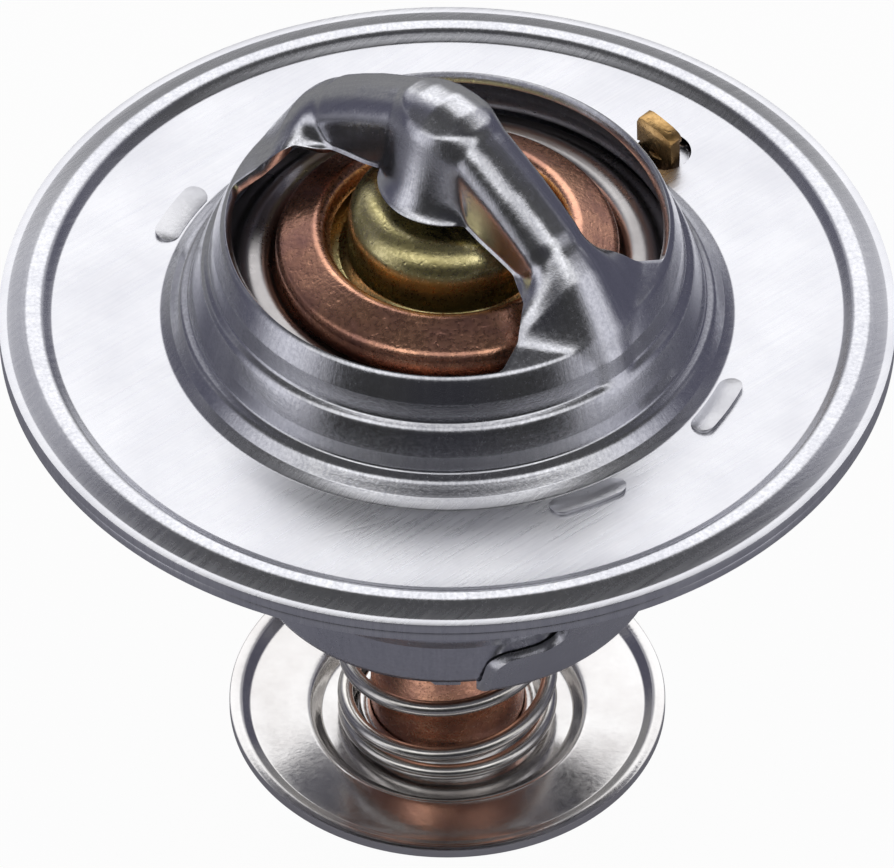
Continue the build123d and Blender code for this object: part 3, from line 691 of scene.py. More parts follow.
def lower_cup(tool, finish):
    """Lower flange and bell, drawn from a second sheet."""
    outline = sheet_outline(bell_corners(), SHEET)
    cup = new_object("lower_cup_sheet", turned_mesh("lower_cup_sheet", outline))
    eased_edges(combined(cup, tool, "DIFFERENCE", "FAST"), CUP_EDGE_BREAK)
    finish_mesh(cup)
    return piece_for(cup, "lower_cup", "frame", "drawn_steel", finish)


# --- Stirrup -------------------------------------------------------------------------------------
def merged_copy(node, name):
    """A CAD node's mesh with its triangles joined and its flat faces whole."""
    shape = bmesh.new()
    shape.from_mesh(bpy.data.objects[node].data)
    bmesh.ops.remove_doubles(shape, verts=shape.verts, dist=1e-7)
    bmesh.ops.dissolve_limit(shape, angle_limit=math.radians(0.3), verts=shape.verts, edges=shape.edges)
    mesh = bpy.data.meshes.new(name)
    shape.to_mesh(mesh)
    shape.free()
    return new_object(name, mesh)


def spring_carrier(finish):
    """Stirrup under the main spring, bent from one strip."""
    stirrup = merged_copy("spring_carrier", "stirrup_strip")
    eased_edges(stirrup, EDGE_BREAK)
    finish_mesh(stirrup, 35)
    return piece_for(stirrup, "spring_carrier", "frame", "stirrup_steel", finish)


# --- Main valve ----------------------------------------------------------------------------------
def valve_disc(finish):
    """The pressed main valve, with ripples round the collar and a flat rim under the seat."""
    hub, seat_r = COLLAR_FLOOR_Z, DISC_RIM_R
    bore = CAN_R + CAN_FLARE + 0.3
    path = [
        (bore, hub),
        (COLLAR_R + 0.1, hub),
        (COLLAR_R + 0.7, hub + 1.2),
        (COLLAR_R + 2.4, hub + 1.2),
        (seat_r - 1.1, DISC_RIM_Z + 0.2),
        (seat_r, DISC_RIM_Z),
    ]
    top = filled(rounded(path, right=1.6, left=1.2, step=0.05), 0.25)
    under = [(seat_r, DISC_RIM_Z - 0.8 * SHEET), (COLLAR_R + 1.2, hub - SHEET), (bore, hub - SHEET)]
    # Its finish is a darker copy of the pressed steel: painted shade for the inside of the dome.
    place = ("valve_disc", "valve", "disc_steel")
    return turned_piece("valve_plate", np.vstack([top, under]), place, finish, edge=0, sharp_degrees=50)


def element_can(finish):
    """Copper can: tube, bevel, collar rolled in over the guide, and the ring's groove."""
    corners = [
        (COLLAR_LIP_R - 1.2, COLLAR_LIP_Z - 1.5),
        (COLLAR_LIP_R - 0.5, COLLAR_LIP_Z),
        (COLLAR_R, COLLAR_SHOULDER_Z),
        (COLLAR_R, COLLAR_FLOOR_Z),
        (CAN_R + CAN_FLARE, COLLAR_FLOOR_Z),
        (CAN_R, COLLAR_FLOOR_Z - CAN_FLARE),
        (CAN_R, CAN_END_Z),
        (0, CAN_END_Z),
    ]
    outer = filled(rounded(corners, right=1.0, left=0.4, step=0.1), SECTION_STEP)
    inner = to_the_right(outer, CAN_WALL)[::-1]
    low, high = GROOVE_LOW_Z, GROOVE_HIGH_Z
    on_tube = outer[:, 0] <= CAN_R + 0.1
    above = outer[(outer[:, 1] > high) | ~on_tube]
    below = outer[(outer[:, 1] < low) & on_tube]
    bottom = CAN_R - GROOVE_DEPTH
    groove = [(CAN_R, high), (bottom, high), (bottom, low), (CAN_R, low)]
    outline = np.vstack([above, groove, below, inner])
    place = ("element_can", "valve", "copper")
    return turned_piece("copper_can", outline, place, finish, FINE_EDGE_BREAK)


def element_guide(finish):
    """Brass guide: rounded nose with the piston's bore, flange under the collar's lip, long stem."""
    bore = PISTON_R + 0.05
    groove_z = COLLAR_LIP_Z - 2.6
    corners = [
        (bore, NOSE_TOP_Z),
        (NOSE_R, NOSE_TOP_Z),
        (NOSE_R, groove_z + 0.5),
        (NOSE_R + 0.7, groove_z),
        (COLLAR_LIP_R - 0.6, groove_z),
        (COLLAR_R - 1.1, groove_z - 0.4),
        (COLLAR_R - 1.1, COLLAR_FLOOR_Z + 1.6),
        (GUIDE_STEM_R, COLLAR_FLOOR_Z + 1.6),
        (GUIDE_STEM_R, GUIDE_END_Z),
        (bore, GUIDE_END_Z),
    ]
    nose = rounded(corners[:3], right=NOSE_ROUND, left=0.3)
    rest = rounded(corners[2:], right=0.1, left=0.3)[1:]
    outline = filled(np.vstack([nose, rest]), SECTION_STEP)
    place = ("element_guide", "valve", "brass")
    return turned_piece("brass_guide", outline, place, finish, FINE_EDGE_BREAK)


# --- Bypass --------------------------------------------------------------------------------------
def bypass_seat(finish):
    """Washer with a short neck, pressed on the can above the bypass spring."""
    neck_r = CAN_R + SHEET
    corners = [(neck_r, SEAT_TOP_Z), (neck_r, SEAT_LOW_Z + SHEET), (SEAT_R, SEAT_LOW_Z + SHEET)]
    outer = filled(rounded(corners, right=0.3, left=0.3), SECTION_STEP)
    inner = to_the_right(outer, SHEET)[::-1]
    place = ("bypass_spring_seat", "valve", "disc_steel")
    return turned_piece("spring_washer", np.vstack([outer, inner]), place, finish, FINE_EDGE_BREAK)


def bypass_disc(finish):
    """Pressed disc with a collar on the can, a recess, a flat ring and an upturned rim."""
    corners = [
        (BYPASS_BORE + SHEET, BYPASS_FLOOR_Z + 1.5),
        (BYPASS_BORE + SHEET, BYPASS_FLOOR_Z),
        (BYPASS_RECESS_R, BYPASS_FLOOR_Z),
        (BYPASS_RECESS_R + 1.0, BYPASS_FLAT_Z),
        (BYPASS_R - 1.6, BYPASS_FLAT_Z),
        (BYPASS_R - 0.8, BYPASS_FLAT_Z + 0.6),
        (BYPASS_R, BYPASS_FLAT_Z + 0.6),
    ]
    outline = sheet_outline(corners, SHEET, right=1.0, left=0.35)
    return turned_piece("bypass_plate", outline, ("bypass_disc", "bypass", "disc_steel"), finish)


def retaining_ring(finish):
    """Open snap ring of round-edged stock in the can's groove."""
    inner = CAN_R - GROOVE_DEPTH
    low, high = GROOVE_LOW_Z, GROOVE_HIGH_Z
    half_gap = math.degrees(math.asin(0.5 * RING_GAP / RING_R))
    outline = np.array([(inner, low), (RING_R, low), (RING_R, high), (inner, high)])
    arc = {"segments": 160, "start": BRIDGE_TURN + 90 + half_gap, "end": BRIDGE_TURN + 450 - half_gap}
    return turned_piece("snap_ring", outline, ("retaining_ring", "valve", "spring_wire"), finish, **arc)


# --- Springs -------------------------------------------------------------------------------------
def feed(tree, socket, value):
    """Link a value into a socket when it is a socket itself, and set it there when it is plain."""
    if isinstance(value, bpy.types.NodeSocket):
        tree.links.new(value, socket)
    else:
        socket.default_value = value


def linked(tree, kind, **values):
    """Add a node; each value is linked when it is a socket and set when it is plain."""
    node = tree.nodes.new(kind)
    for label, value in values.items():
        feed(tree, node.inputs[label.replace("_", " ")], value)
    return node


class Sums:
    """Adds math nodes to a tree and links them, so that a formula reads as one."""

    def __init__(self, tree):
        self.tree = tree

    def do(self, operation, *values):
        """One math node of sockets and plain numbers: its result."""
        node = self.tree.nodes.new("ShaderNodeMath")
        node.operation = operation
        for socket, value in zip(node.inputs, values):
            feed(self.tree, socket, value)
        return node.outputs[0]

    def weighed(self, total, *terms):
        """A starting value and other values, each times its weight."""
        for value, weight in terms:
            total = self.do("MULTIPLY_ADD", value, weight, total)
        return total


def coil_tree():
    """Geometry Nodes tree of a coil spring with closed ends, standing between two heights."""
    tree = bpy.data.node_groups.new("coil_spring", "GeometryNodeTree")
    sizes = ("Mean radius", "Wire", "Turns", "Low", "High", "Start angle")
    for size in sizes:
        tree.interface.new_socket(size, in_out="INPUT", socket_type="NodeSocketFloat")
    tree.interface.new_socket("Material", in_out="INPUT", socket_type="NodeSocketMaterial")
    tree.interface.new_socket("Geometry", in_out="OUTPUT", socket_type="NodeSocketGeometry")
    given = tree.nodes.new("NodeGroupInput").outputs
    do = Sums(tree).do
    line = tree.nodes.new("GeometryNodeCurvePrimitiveLine").outputs[0]
    steps = do("MULTIPLY_ADD", given["Turns"], COIL_STEPS, 1)
    stations = linked(tree, "GeometryNodeResampleCurve", Curve=line, Count=steps).outputs[0]
    factor = tree.nodes.new("GeometryNodeSplineParameter").outputs["Factor"]
    turn = do("MULTIPLY", factor, given["Turns"])
    middle = do("SUBTRACT", given["Turns"], 2 * CLOSED_TURNS)
    closed_height = do("MULTIPLY", given["Wire"], 1 + 2 * CLOSED_TURNS)
    rise = do("SUBTRACT", do("SUBTRACT", given["High"], given["Low"]), closed_height)
    pitch = do("DIVIDE", rise, do("SUBTRACT", middle, RAMP_TURNS))
    open_turn = do("MINIMUM", do("MAXIMUM", do("SUBTRACT", turn, CLOSED_TURNS), 0.0), middle)
    first = do("POWER", do("MINIMUM", open_turn, RAMP_TURNS), 2.0)
    last = do("POWER", do("MINIMUM", do("SUBTRACT", middle, open_turn), RAMP_TURNS), 2.0)
    straight = do("SUBTRACT", do("MINIMUM", open_turn, do("SUBTRACT", middle, RAMP_TURNS)), RAMP_TURNS)
    ends = do("DIVIDE", do("SUBTRACT", first, last), 2 * RAMP_TURNS)
    climbed = do("ADD", do("ADD", ends, do("MAXIMUM", straight, 0.0)), RAMP_TURNS / 2)
    low_end = do("MINIMUM", turn, CLOSED_TURNS)
    high_end = do("MAXIMUM", do("SUBTRACT", turn, do("SUBTRACT", given["Turns"], CLOSED_TURNS)), 0.0)
    closed = do("MULTIPLY", do("ADD", do("ADD", low_end, high_end), 0.5), given["Wire"])
    height = do("ADD", do("ADD", do("MULTIPLY", climbed, pitch), closed), given["Low"])
    angle = do("ADD", do("MULTIPLY", turn, 2 * math.pi), given["Start angle"])
    x, y = [do("MULTIPLY", do(side, angle), given["Mean radius"]) for side in ("COSINE", "SINE")]
    place = linked(tree, "ShaderNodeCombineXYZ", X=x, Y=y, Z=height).outputs[0]
    coil = linked(tree, "GeometryNodeSetPosition", Geometry=stations, Position=place).outputs[0]
    wire_r = do("MULTIPLY", given["Wire"], 0.5)
    circle = linked(tree, "GeometryNodeCurvePrimitiveCircle", Resolution=WIRE_SIDES, Radius=wire_r)
    section = circle.outputs["Curve"]
    tube = linked(tree, "GeometryNodeCurveToMesh", Curve=coil, Profile_Curve=section, Fill_Caps=True)
    real = linked(tree, "GeometryNodeRealizeInstances", Geometry=tube.outputs[0]).outputs[0]
    paint = linked(tree, "GeometryNodeSetMaterial", Geometry=real, Material=given["Material"])
    tree.links.new(paint.outputs[0], tree.nodes.new("NodeGroupOutput").inputs[0])
    return tree


def coil_spring(name, tree, finish, **sizes):
    """One spring from the tree, as a plain mesh. Lengths are millimetres, the angle is in degrees."""
    maker = new_object(name, bpy.data.meshes.new(name))
    modifier = maker.modifiers.new("coil", "NODES")
    modifier.node_group = tree
    values = {
        "Mean radius": MM * sizes["mean_r"],
        "Wire": MM * sizes["wire"],
        "Turns": sizes["turns"],
        "Low": MM * sizes["low"],
        "High": MM * sizes["high"],
        "Start angle": math.radians(sizes["start"]),
        "Material": finish,
    }
    for item in tree.interface.items_tree:
        if item.name in values:
            modifier[item.identifier] = values[item.name]
    return finish_mesh(applied(maker), 60)


def main_spring(tree, finish):
    """Heavy coil from the bell's rim plane up to the valve."""
    spring = coil_spring(
        "main_coil",
        tree,
        finish,
        mean_r=MAIN_SPRING_R,
        wire=MAIN_WIRE,
        turns=MAIN_TURNS,
        low=BELL_RIM_Z,
        high=COLLAR_FLOOR_Z - SHEET,
        start=BRIDGE_TURN + 90,
    )
    piece_for(spring, "main_spring", "frame", "spring_wire", finish)
    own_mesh(spring)
    return spring


def bypass_spring(tree, finish):
    """Thin coil round the can, from the bypass disc up to its washer."""
    spring = coil_spring(
        "bypass_coil",
        tree,
        finish,
        mean_r=BYPASS_SPRING_R,
        wire=BYPASS_WIRE,
        turns=BYPASS_TURNS,
        low=BYPASS_FLOOR_Z,
        high=SEAT_LOW_Z,
        start=BYPASS_START,
    )
    piece_for(spring, "bypass_spring", "valve", "spring_wire", finish)
    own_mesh(spring)
    return spring


# --- Air bleed -----------------------------------------------------------------------------------
PIN_STEM_R, PIN_BULB_R = 1.15, 2.6
PIN_STEM_TOP_Z = 0.3
PIN_EDGE_BREAK = 0.14
# The head and the tongue stand this far in from the hole's middle, towards the dome.
PIN_SHIFT = 0.45
# Their outlines: along the flange's rim, and up from its upper face.
PIN_HEAD_THICK, PIN_TONGUE_THICK = 1.2, 0.95
PIN_HEAD = [
    (1.75, 0.75),
    (1.8, 2.6),
    (1.6, 3.1),
    (1.2, 3.2),
    (0.6, 3.15),
    (-0.8, 2.9),
    (-1.45, 2.65),
    (-1.7, 2.35),
    (-1.65, 1.95),
]
PIN_TONGUE = [(1.6, -1.2), (1.6, 1.4), (-1.6, 2.3), (-1.65, 0.4), (-1.6, -1.2)]


def flat_plate(name, outline, thick):
    """A plate that stands across the pin's hole, thick along the row's radius."""
    count = len(outline)
    faces_at = [-PIN_SHIFT + side * 0.5 * thick for side in (-1, 1)]
    points = [(out, along, up) for out in faces_at for along, up in outline]
    faces = [tuple(range(count)), tuple(range(2 * count - 1, count - 1, -1))]
    faces += [(i, count + i, count + (i + 1) % count, (i + 1) % count) for i in range(count)]
    return mesh_from(name, points, faces)


def pin_body():
    """Stem and bulb of the pin, turned."""
    top = LOWER_FACE_Z - 1.4
    low = cad("jiggle_pin")[0][2]
    corners = [
        (0, PIN_STEM_TOP_Z),
        (PIN_STEM_R, PIN_STEM_TOP_Z),
        (PIN_STEM_R, top),
        (0.7 * PIN_BULB_R, top),
        (PIN_BULB_R, top - 0.3 * PIN_BULB_R),
        (PIN_BULB_R, low),
        (0, low),
    ]
    outline = np.vstack([rounded(corners[:5], 0.2, 0.2), rounded(corners[4:], 1.4, 1.4)[1:]])
    return turned_mesh("pin_body", outline, segments=64)


def at_bleed_hole(mesh):
    """Move a mesh from the axis to the pin's hole, its X away from the axis and its faces outwards."""
    turn = Matrix.Rotation(math.atan2(PIN_Y, PIN_X), 4, "Z")
    shape = bmesh.new()
    shape.from_mesh(mesh)
    bmesh.ops.recalc_face_normals(shape, faces=shape.faces)
    shape.transform(Matrix.Translation((MM * PIN_X, MM * PIN_Y, 0)) @ turn)
    shape.to_mesh(mesh)
    shape.free()
    return mesh


def jiggle_pin(finish):
    """Loose brass pin: a flattened head with a step across it, a tongue in the hole and a bulb below."""
    pin = new_object("bleed_pin", at_bleed_hole(pin_body()))
    parts = (("pin_tongue", PIN_TONGUE, PIN_TONGUE_THICK), ("pin_head", PIN_HEAD, PIN_HEAD_THICK))
    for name, outline, thick in parts:
        other = new_object(name, at_bleed_hole(flat_plate(name, outline, thick)))
        combined(pin, other, "UNION", "EXACT")
        bpy.data.objects.remove(other)
    eased_edges(pin, PIN_EDGE_BREAK, 35)
    finish_mesh(pin, 40)
    return piece_for(pin, "jiggle_pin", "bleed", "brass", finish)


# --- Finishes ------------------------------------------------------------------------------------
def shader_group(name, inputs, outputs):
    """An empty shader group with named sockets: its tree, what it is given and what it puts out."""
    tree = bpy.data.node_groups.new(name, "ShaderNodeTree")
    kinds = {"value": "NodeSocketFloat", "vector": "NodeSocketVector", "colour": "NodeSocketColor"}
    for label, kind in inputs:
        tree.interface.new_socket(label, in_out="INPUT", socket_type=kinds[kind])
    for label, kind in outputs:
        tree.interface.new_socket(label, in_out="OUTPUT", socket_type=kinds[kind])
    return tree, tree.nodes.new("NodeGroupInput").outputs, tree.nodes.new("NodeGroupOutput").inputs


def noise(tree, vector, scale, detail, roughness):
    """Plain noise over a vector."""
    node = linked(tree, "ShaderNodeTexNoise", Vector=vector, Scale=scale, Detail=detail, Roughness=roughness)
    return node.outputs["Fac"]


def between(tree, value, low, high, to_low=0.0, to_high=1.0):
    """Map a value from one range to another, clamped."""
    node = linked(tree, "ShaderNodeMapRange", Value=value)
    node.clamp = True
    for label, number in (("From Min", low), ("From Max", high), ("To Min", to_low), ("To Max", to_high)):
        feed(tree, node.inputs[label], number)
    return node.outputs["Result"]


def mixed(tree, factor, first, second):
    """Mix two colours."""
    node = tree.nodes.new("ShaderNodeMix")
    node.data_type = "RGBA"
    for place, value in ((0, factor), (6, first), (7, second)):
        feed(tree, node.inputs[place], value)
    return node.outputs[2]


def shader_mixed(tree, factor, first, second):
    """Mix two shaders."""
    node = linked(tree, "ShaderNodeMixShader", Fac=factor)
    tree.links.new(first, node.inputs[1])
    tree.links.new(second, node.inputs[2])
    return node.outputs[0]


def stretched(tree, vector, turn, along, across):
    """Coordinates turned about Z and scaled by one value along the turned X and another across it."""
    turned = linked(tree, "ShaderNodeVectorRotate", Vector=vector, Angle=turn)
    turned.rotation_type = "Z_AXIS"
    scale = linked(tree, "ShaderNodeCombineXYZ", X=along, Y=across, Z=along)
    node = tree.nodes.new("ShaderNodeVectorMath")
    node.operation = "MULTIPLY"
    tree.links.new(turned.outputs[0], node.inputs[0])
    tree.links.new(scale.outputs[0], node.inputs[1])
    return node.outputs[0]


def brushing_group():
    """Straight brush lines and, here and there, a longer scratch. Scale is in lines per metre."""
    inputs = [("Vector", "vector"), ("Turn", "value"), ("Scale", "value"), ("Length", "value")]
    tree, given, out = shader_group("brushing", inputs, [("Lines", "value"), ("Scratches", "value")])
    do = Sums(tree).do
    along = do("DIVIDE", given["Scale"], given["Length"])
    brushed = stretched(tree, given["Vector"], given["Turn"], along, given["Scale"])
    lines = noise(tree, brushed, 1.0, 4.0, 0.7)
    slower = [do("MULTIPLY", along, 0.4), do("MULTIPLY", given["Scale"], 0.45)]
    scratched = stretched(tree, given["Vector"], do("ADD", given["Turn"], 0.35), *slower)
    scratches = noise(tree, scratched, 1.0, 1.0, 0.5)
    tree.links.new(between(tree, lines, 0.25, 0.75), out["Lines"])
    tree.links.new(between(tree, scratches, 0.66, 0.74), out["Scratches"])
    return tree


def drawing_group():
    """Marks of pressing and turning: rings round the axis and scuffs along it."""
    inputs = [("Vector", "vector"), ("Rings", "value"), ("Scuffs", "value")]
    tree, given, out = shader_group("drawing_marks", inputs, [("Rings", "value"), ("Scuffs", "value")])
    do = Sums(tree).do
    x, y, z = linked(tree, "ShaderNodeSeparateXYZ", Vector=given["Vector"]).outputs
    r = do("SQRT", do("ADD", do("MULTIPLY", x, x), do("MULTIPLY", y, y)))
    safe = do("MAXIMUM", r, 1e-5)
    side_x, side_y = do("DIVIDE", x, safe), do("DIVIDE", y, safe)
    ring_place = linked(
        tree,
        "ShaderNodeCombineXYZ",
        X=do("ADD", do("MULTIPLY", r, given["Rings"]), side_x),
        Y=do("MULTIPLY", z, given["Rings"]),
        Z=side_y,
    )
    scuff_place = linked(
        tree,
        "ShaderNodeCombineXYZ",
        X=do("MULTIPLY", side_x, given["Scuffs"]),
        Y=do("MULTIPLY", side_y, given["Scuffs"]),
        Z=do("MULTIPLY", do("ADD", z, r), 260.0),
    )
    rings = noise(tree, ring_place.outputs[0], 1.0, 3.0, 0.7)
    scuffs = noise(tree, scuff_place.outputs[0], 1.0, 3.0, 0.65)
    tree.links.new(between(tree, rings, 0.25, 0.75), out["Rings"])
    tree.links.new(between(tree, scuffs, 0.25, 0.75), out["Scuffs"])
    return tree


def grain_group():
    """Fine grain of stretched metal, with scattered pits. Size is in grains per metre."""
    inputs = [("Vector", "vector"), ("Size", "value")]
    tree, given, out = shader_group("grain", inputs, [("Grain", "value"), ("Pits", "value")])
    do = Sums(tree).do
    grain = noise(tree, given["Vector"], given["Size"], 2.0, 0.6)
    pits = noise(tree, given["Vector"], do("MULTIPLY", given["Size"], 0.6), 1.0, 0.5)
    tree.links.new(between(tree, grain, 0.3, 0.7), out["Grain"])
    tree.links.new(between(tree, pits, 0.62, 0.72), out["Pits"])
    return tree


def tarnish_group():
    """Colour that drifts from clean to stained in soft patches."""
    inputs = [("Vector", "vector"), ("Scale", "value"), ("Amount", "value")]
    inputs += [("Clean", "colour"), ("Stained", "colour")]
    tree, given, out = shader_group("tarnish", inputs, [("Colour", "colour"), ("Mask", "value")])
    do = Sums(tree).do
    broad = noise(tree, given["Vector"], given["Scale"], 5.0, 0.62)
    mask = do("MULTIPLY", between(tree, broad, 0.38, 0.68), given["Amount"])
    tree.links.new(mixed(tree, mask, given["Clean"], given["Stained"]), out["Colour"])
    tree.links.new(mask, out["Mask"])
    return tree


def placed(tree, group, **values):
    """Place a group in a material with its own values."""
    node = tree.nodes.new("ShaderNodeGroup")
    node.node_tree = group
    for label, value in values.items():
        feed(tree, node.inputs[label], value)
    return node.outputs


def new_finish(name, metallic):
    """A material with an empty Principled surface: its tree, shader and object coordinates."""
    material = bpy.data.materials.new(name)
    material.use_nodes = True
    tree = material.node_tree
    shader = tree.nodes["Principled BSDF"]
    shader.inputs["Metallic"].default_value = metallic
    place = tree.nodes.new("ShaderNodeTexCoord").outputs["Object"]
    return material, tree, shader, place


def surfaced(tree, shader, colour, rough, height, depth):
    """Feed a shader its colour, its roughness and its relief, of a depth in millimetres."""
    tree.links.new(colour, shader.inputs["Base Color"])
    tree.links.new(rough, shader.inputs["Roughness"])
    bump = linked(tree, "ShaderNodeBump", Height=height, Distance=MM * depth, Strength=1.0)
    tree.links.new(bump.outputs[0], shader.inputs["Normal"])


def tarnished(tree, groups, place, scale, amount, colours):
    """Tarnish of one scale and amount between a clean and a stained colour."""
    clean, stained = colours
    group = groups["tarnish"]
    return placed(tree, group, Vector=place, Scale=scale, Amount=amount, Clean=clean, Stained=stained)


def drawn_steel_finish(groups):
    """Bright drawn sheet: brushed on the flat flange, grained and scuffed where it was stretched."""
    material, tree, shader, place = new_finish("drawn_steel_finish", 1.0)
    sums = Sums(tree)
    do = sums.do
    z = linked(tree, "ShaderNodeSeparateXYZ", Vector=place).outputs[2]
    above = between(tree, z, MM * 0.1, MM * 0.6)
    below = between(tree, z, -MM * 1.6, -MM * 2.2)
    drawn = do("ADD", above, below)
    flat = do("SUBTRACT", 1.0, drawn)
    brush = placed(tree, groups["brushing"], Vector=place, Turn=-0.7, Scale=3200.0, Length=30.0)
    marks = placed(tree, groups["drawing"], Vector=place, Rings=2400.0, Scuffs=46.0)
    grain = placed(tree, groups["grain"], Vector=place, Size=3600.0)
    stain = tarnished(tree, groups, place, 95.0, 0.6, (STEEL_CLEAN, STEEL_STAIN))
    lines = do("MULTIPLY", do("SUBTRACT", 1.0, brush["Lines"]), 0.5)
    speckle = sums.weighed(0.04, (marks["Scuffs"], 0.35), (grain["Grain"], 0.32))
    brushed, worked = [mixed(tree, share, stain["Colour"], STEEL_WORKED) for share in (lines, speckle)]
    colour = mixed(tree, drawn, brushed, worked)
    flat_rough = sums.weighed(0.22, (brush["Lines"], 0.12))
    drawn_rough = sums.weighed(0.14, (grain["Grain"], 0.12))
    rough = sums.weighed(0.0, (flat_rough, flat), (drawn_rough, drawn), (stain["Mask"], 0.06))
    flat_relief = sums.weighed(0.0, (brush["Lines"], 0.9), (brush["Scratches"], -0.4))
    drawn_relief = sums.weighed(0.0, (marks["Rings"], 0.35), (marks["Scuffs"], 0.5), (grain["Grain"], 0.55))
    height = sums.weighed(0.0, (flat_relief, flat), (drawn_relief, drawn))
    surfaced(tree, shader, colour, rough, height, 0.006)
    return material


def pressed_steel_finish(groups, name, clean, stained, rough, relief):
    """Bright pressed disc or strip, with fine rings from rolling and pressing."""
    material, tree, shader, place = new_finish(name, 1.0)
    weighed = Sums(tree).weighed
    marks = placed(tree, groups["drawing"], Vector=place, Rings=3000.0, Scuffs=30.0)
    grain = placed(tree, groups["grain"], Vector=place, Size=3000.0)
    brush = placed(tree, groups["brushing"], Vector=place, Turn=0.6, Scale=2600.0, Length=34.0)
    stain = tarnished(tree, groups, place, 120.0, 0.6, (clean, stained))
    rough = weighed(rough, (grain["Grain"], 0.06), (stain["Mask"], 0.12))
    height = weighed(0.0, (marks["Rings"], 0.5), (grain["Grain"], 0.8), (brush["Scratches"], -0.6))
    surfaced(tree, shader, stain["Colour"], rough, height, relief)
    return material


def copper_finish(groups):
    """Copper, browned and violet in patches, rough from drawing."""
    material, tree, shader, place = new_finish("copper_finish", 1.0)
    weighed = Sums(tree).weighed
    marks = placed(tree, groups["drawing"], Vector=place, Rings=2600.0, Scuffs=60.0)
    grain = placed(tree, groups["grain"], Vector=place, Size=3200.0)
    brown = tarnished(tree, groups, place, 150.0, 0.75, (COPPER_CLEAN, COPPER_BROWN))
    violet = tarnished(tree, groups, place, 300.0, 0.5, (brown["Colour"], COPPER_VIOLET))
    rough = weighed(0.17, (grain["Grain"], 0.14), (brown["Mask"], 0.14))
    height = weighed(0.0, (marks["Rings"], 0.5), (grain["Grain"], 1.2), (grain["Pits"], -1.2))
    surfaced(tree, shader, violet["Colour"], rough, height, 0.009)
    return material


def brass_finish(groups, name, clean, stained, painted_shade_below=None):
    """Turned brass, dulled in patches, with tool rings and pits; below a height in mm it may darken with
    painted shade.
    """
    material, tree, shader, place = new_finish(name, 1.0)
    sums = Sums(tree)
    marks = placed(tree, groups["drawing"], Vector=place, Rings=3600.0, Scuffs=20.0)
    grain = placed(tree, groups["grain"], Vector=place, Size=3400.0)
    dull = tarnished(tree, groups, place, 210.0, 0.8, (clean, stained))
    colour = mixed(tree, sums.do("MULTIPLY", grain["Grain"], 0.45), dull["Colour"], stained)
    if painted_shade_below is not None:
        # Painted shade: darker towards the bottom, as if the stem lay in the shadow of the pin's hole.
        z = linked(tree, "ShaderNodeSeparateXYZ", Vector=place).outputs[2]
        edge = [MM * (painted_shade_below - 0.7), MM * (painted_shade_below + 0.7)]
        colour = mixed(tree, between(tree, z, *edge, 0.85, 0.0), colour, BRASS_PAINTED_SHADE)
    rough = sums.weighed(0.18, (grain["Grain"], 0.14), (dull["Mask"], 0.12))
    height = sums.weighed(0.0, (marks["Rings"], 0.6), (grain["Grain"], 0.8), (grain["Pits"], -1.4))
    surfaced(tree, shader, colour, rough, height, 0.008)
    return material


def soft_finish(groups, name, clean, stained, rough):
    """Rubber, plastic or wax: matt, mottled, with a fine grain."""
    material, tree, shader, place = new_finish(name, 0.0)
    grain = placed(tree, groups["grain"], Vector=place, Size=2200.0)
    stain = tarnished(tree, groups, place, 260.0, 0.8, (clean, stained))
    rough = Sums(tree).weighed(rough, (grain["Grain"], 0.12))
    surfaced(tree, shader, stain["Colour"], rough, grain["Grain"], 0.01)
    return material


# Each finish: its material's name, its clean and its stained colour, then its roughness.
# The steels' last number is the depth of their relief in mm.
PRESSED_STEELS = {
    "stirrup": ("stirrup_steel_finish", (0.66, 0.66, 0.69, 1), (0.50, 0.50, 0.54, 1), 0.24, 0.008),
    "disc": ("disc_steel_finish", (0.74, 0.73, 0.73, 1), (0.60, 0.57, 0.56, 1), 0.10, 0.0025),
    # The valve's steel is darker all over than the disc steel: painted shade for the disc inside the dome.
    # Its patches are stains.
    "valve": ("valve_disc_painted_shade_finish", (0.50, 0.48, 0.48, 1), (0.34, 0.32, 0.32, 1), 0.24, 0.003),
    "wire": ("spring_wire_finish", (0.76, 0.74, 0.71, 1), (0.60, 0.56, 0.52, 1), 0.16, 0.003),
    "piston": ("piston_finish", (0.74, 0.74, 0.75, 1), (0.62, 0.61, 0.60, 1), 0.10, 0.001),
}
SOFT_STUFFS = {
    "rubber": ("rubber_finish", (0.022, 0.021, 0.020, 1), (0.040, 0.036, 0.032, 1), 0.55),
    "plastic": ("backup_plastic_finish", (0.70, 0.66, 0.55, 1), (0.58, 0.52, 0.40, 1), 0.38),
    "wax": ("wax_finish", (0.42, 0.24, 0.13, 1), (0.30, 0.16, 0.09, 1), 0.45),
}
PIN_BRASS = ("bleed_pin_finish", (0.74, 0.48, 0.21, 1), (0.44, 0.25, 0.09, 1))


def make_finishes():
    """Every finish of the thermostat, by name."""
    groups = {
        "brushing": brushing_group(),
        "drawing": drawing_group(),
        "grain": grain_group(),
        "tarnish": tarnish_group(),
    }
    finishes = {
        "drawn": drawn_steel_finish(groups),
        "copper": copper_finish(groups),
        "brass": brass_finish(groups, "brass_finish", BRASS_CLEAN, BRASS_OLIVE),
        # The pin's finish darkens below the stem's top: painted shade of the hole.
        "pin": brass_finish(groups, *PIN_BRASS, painted_shade_below=PIN_STEM_TOP_Z),
    }
    for label, values in PRESSED_STEELS.items():
        finishes[label] = pressed_steel_finish(groups, *values)
    for label, values in SOFT_STUFFS.items():
        finishes[label] = soft_finish(groups, *values)
    return finishes


def finish_cad(node, finish):
    """Give a CAD node that stays its finish."""
    thing = bpy.data.objects[node]
    if not thing.material_slots:
        thing.data.materials.append(finish)
    for place in thing.material_slots:
        place.material = finish


# --- Stage ---------------------------------------------------------------------------------------
def look_at(thing, target):
    """Turn a camera or lamp so that it faces a point, in metres."""
    direction = Vector(target) - thing.location
    thing.rotation_euler = direction.to_track_quat("-Z", "Y").to_euler()


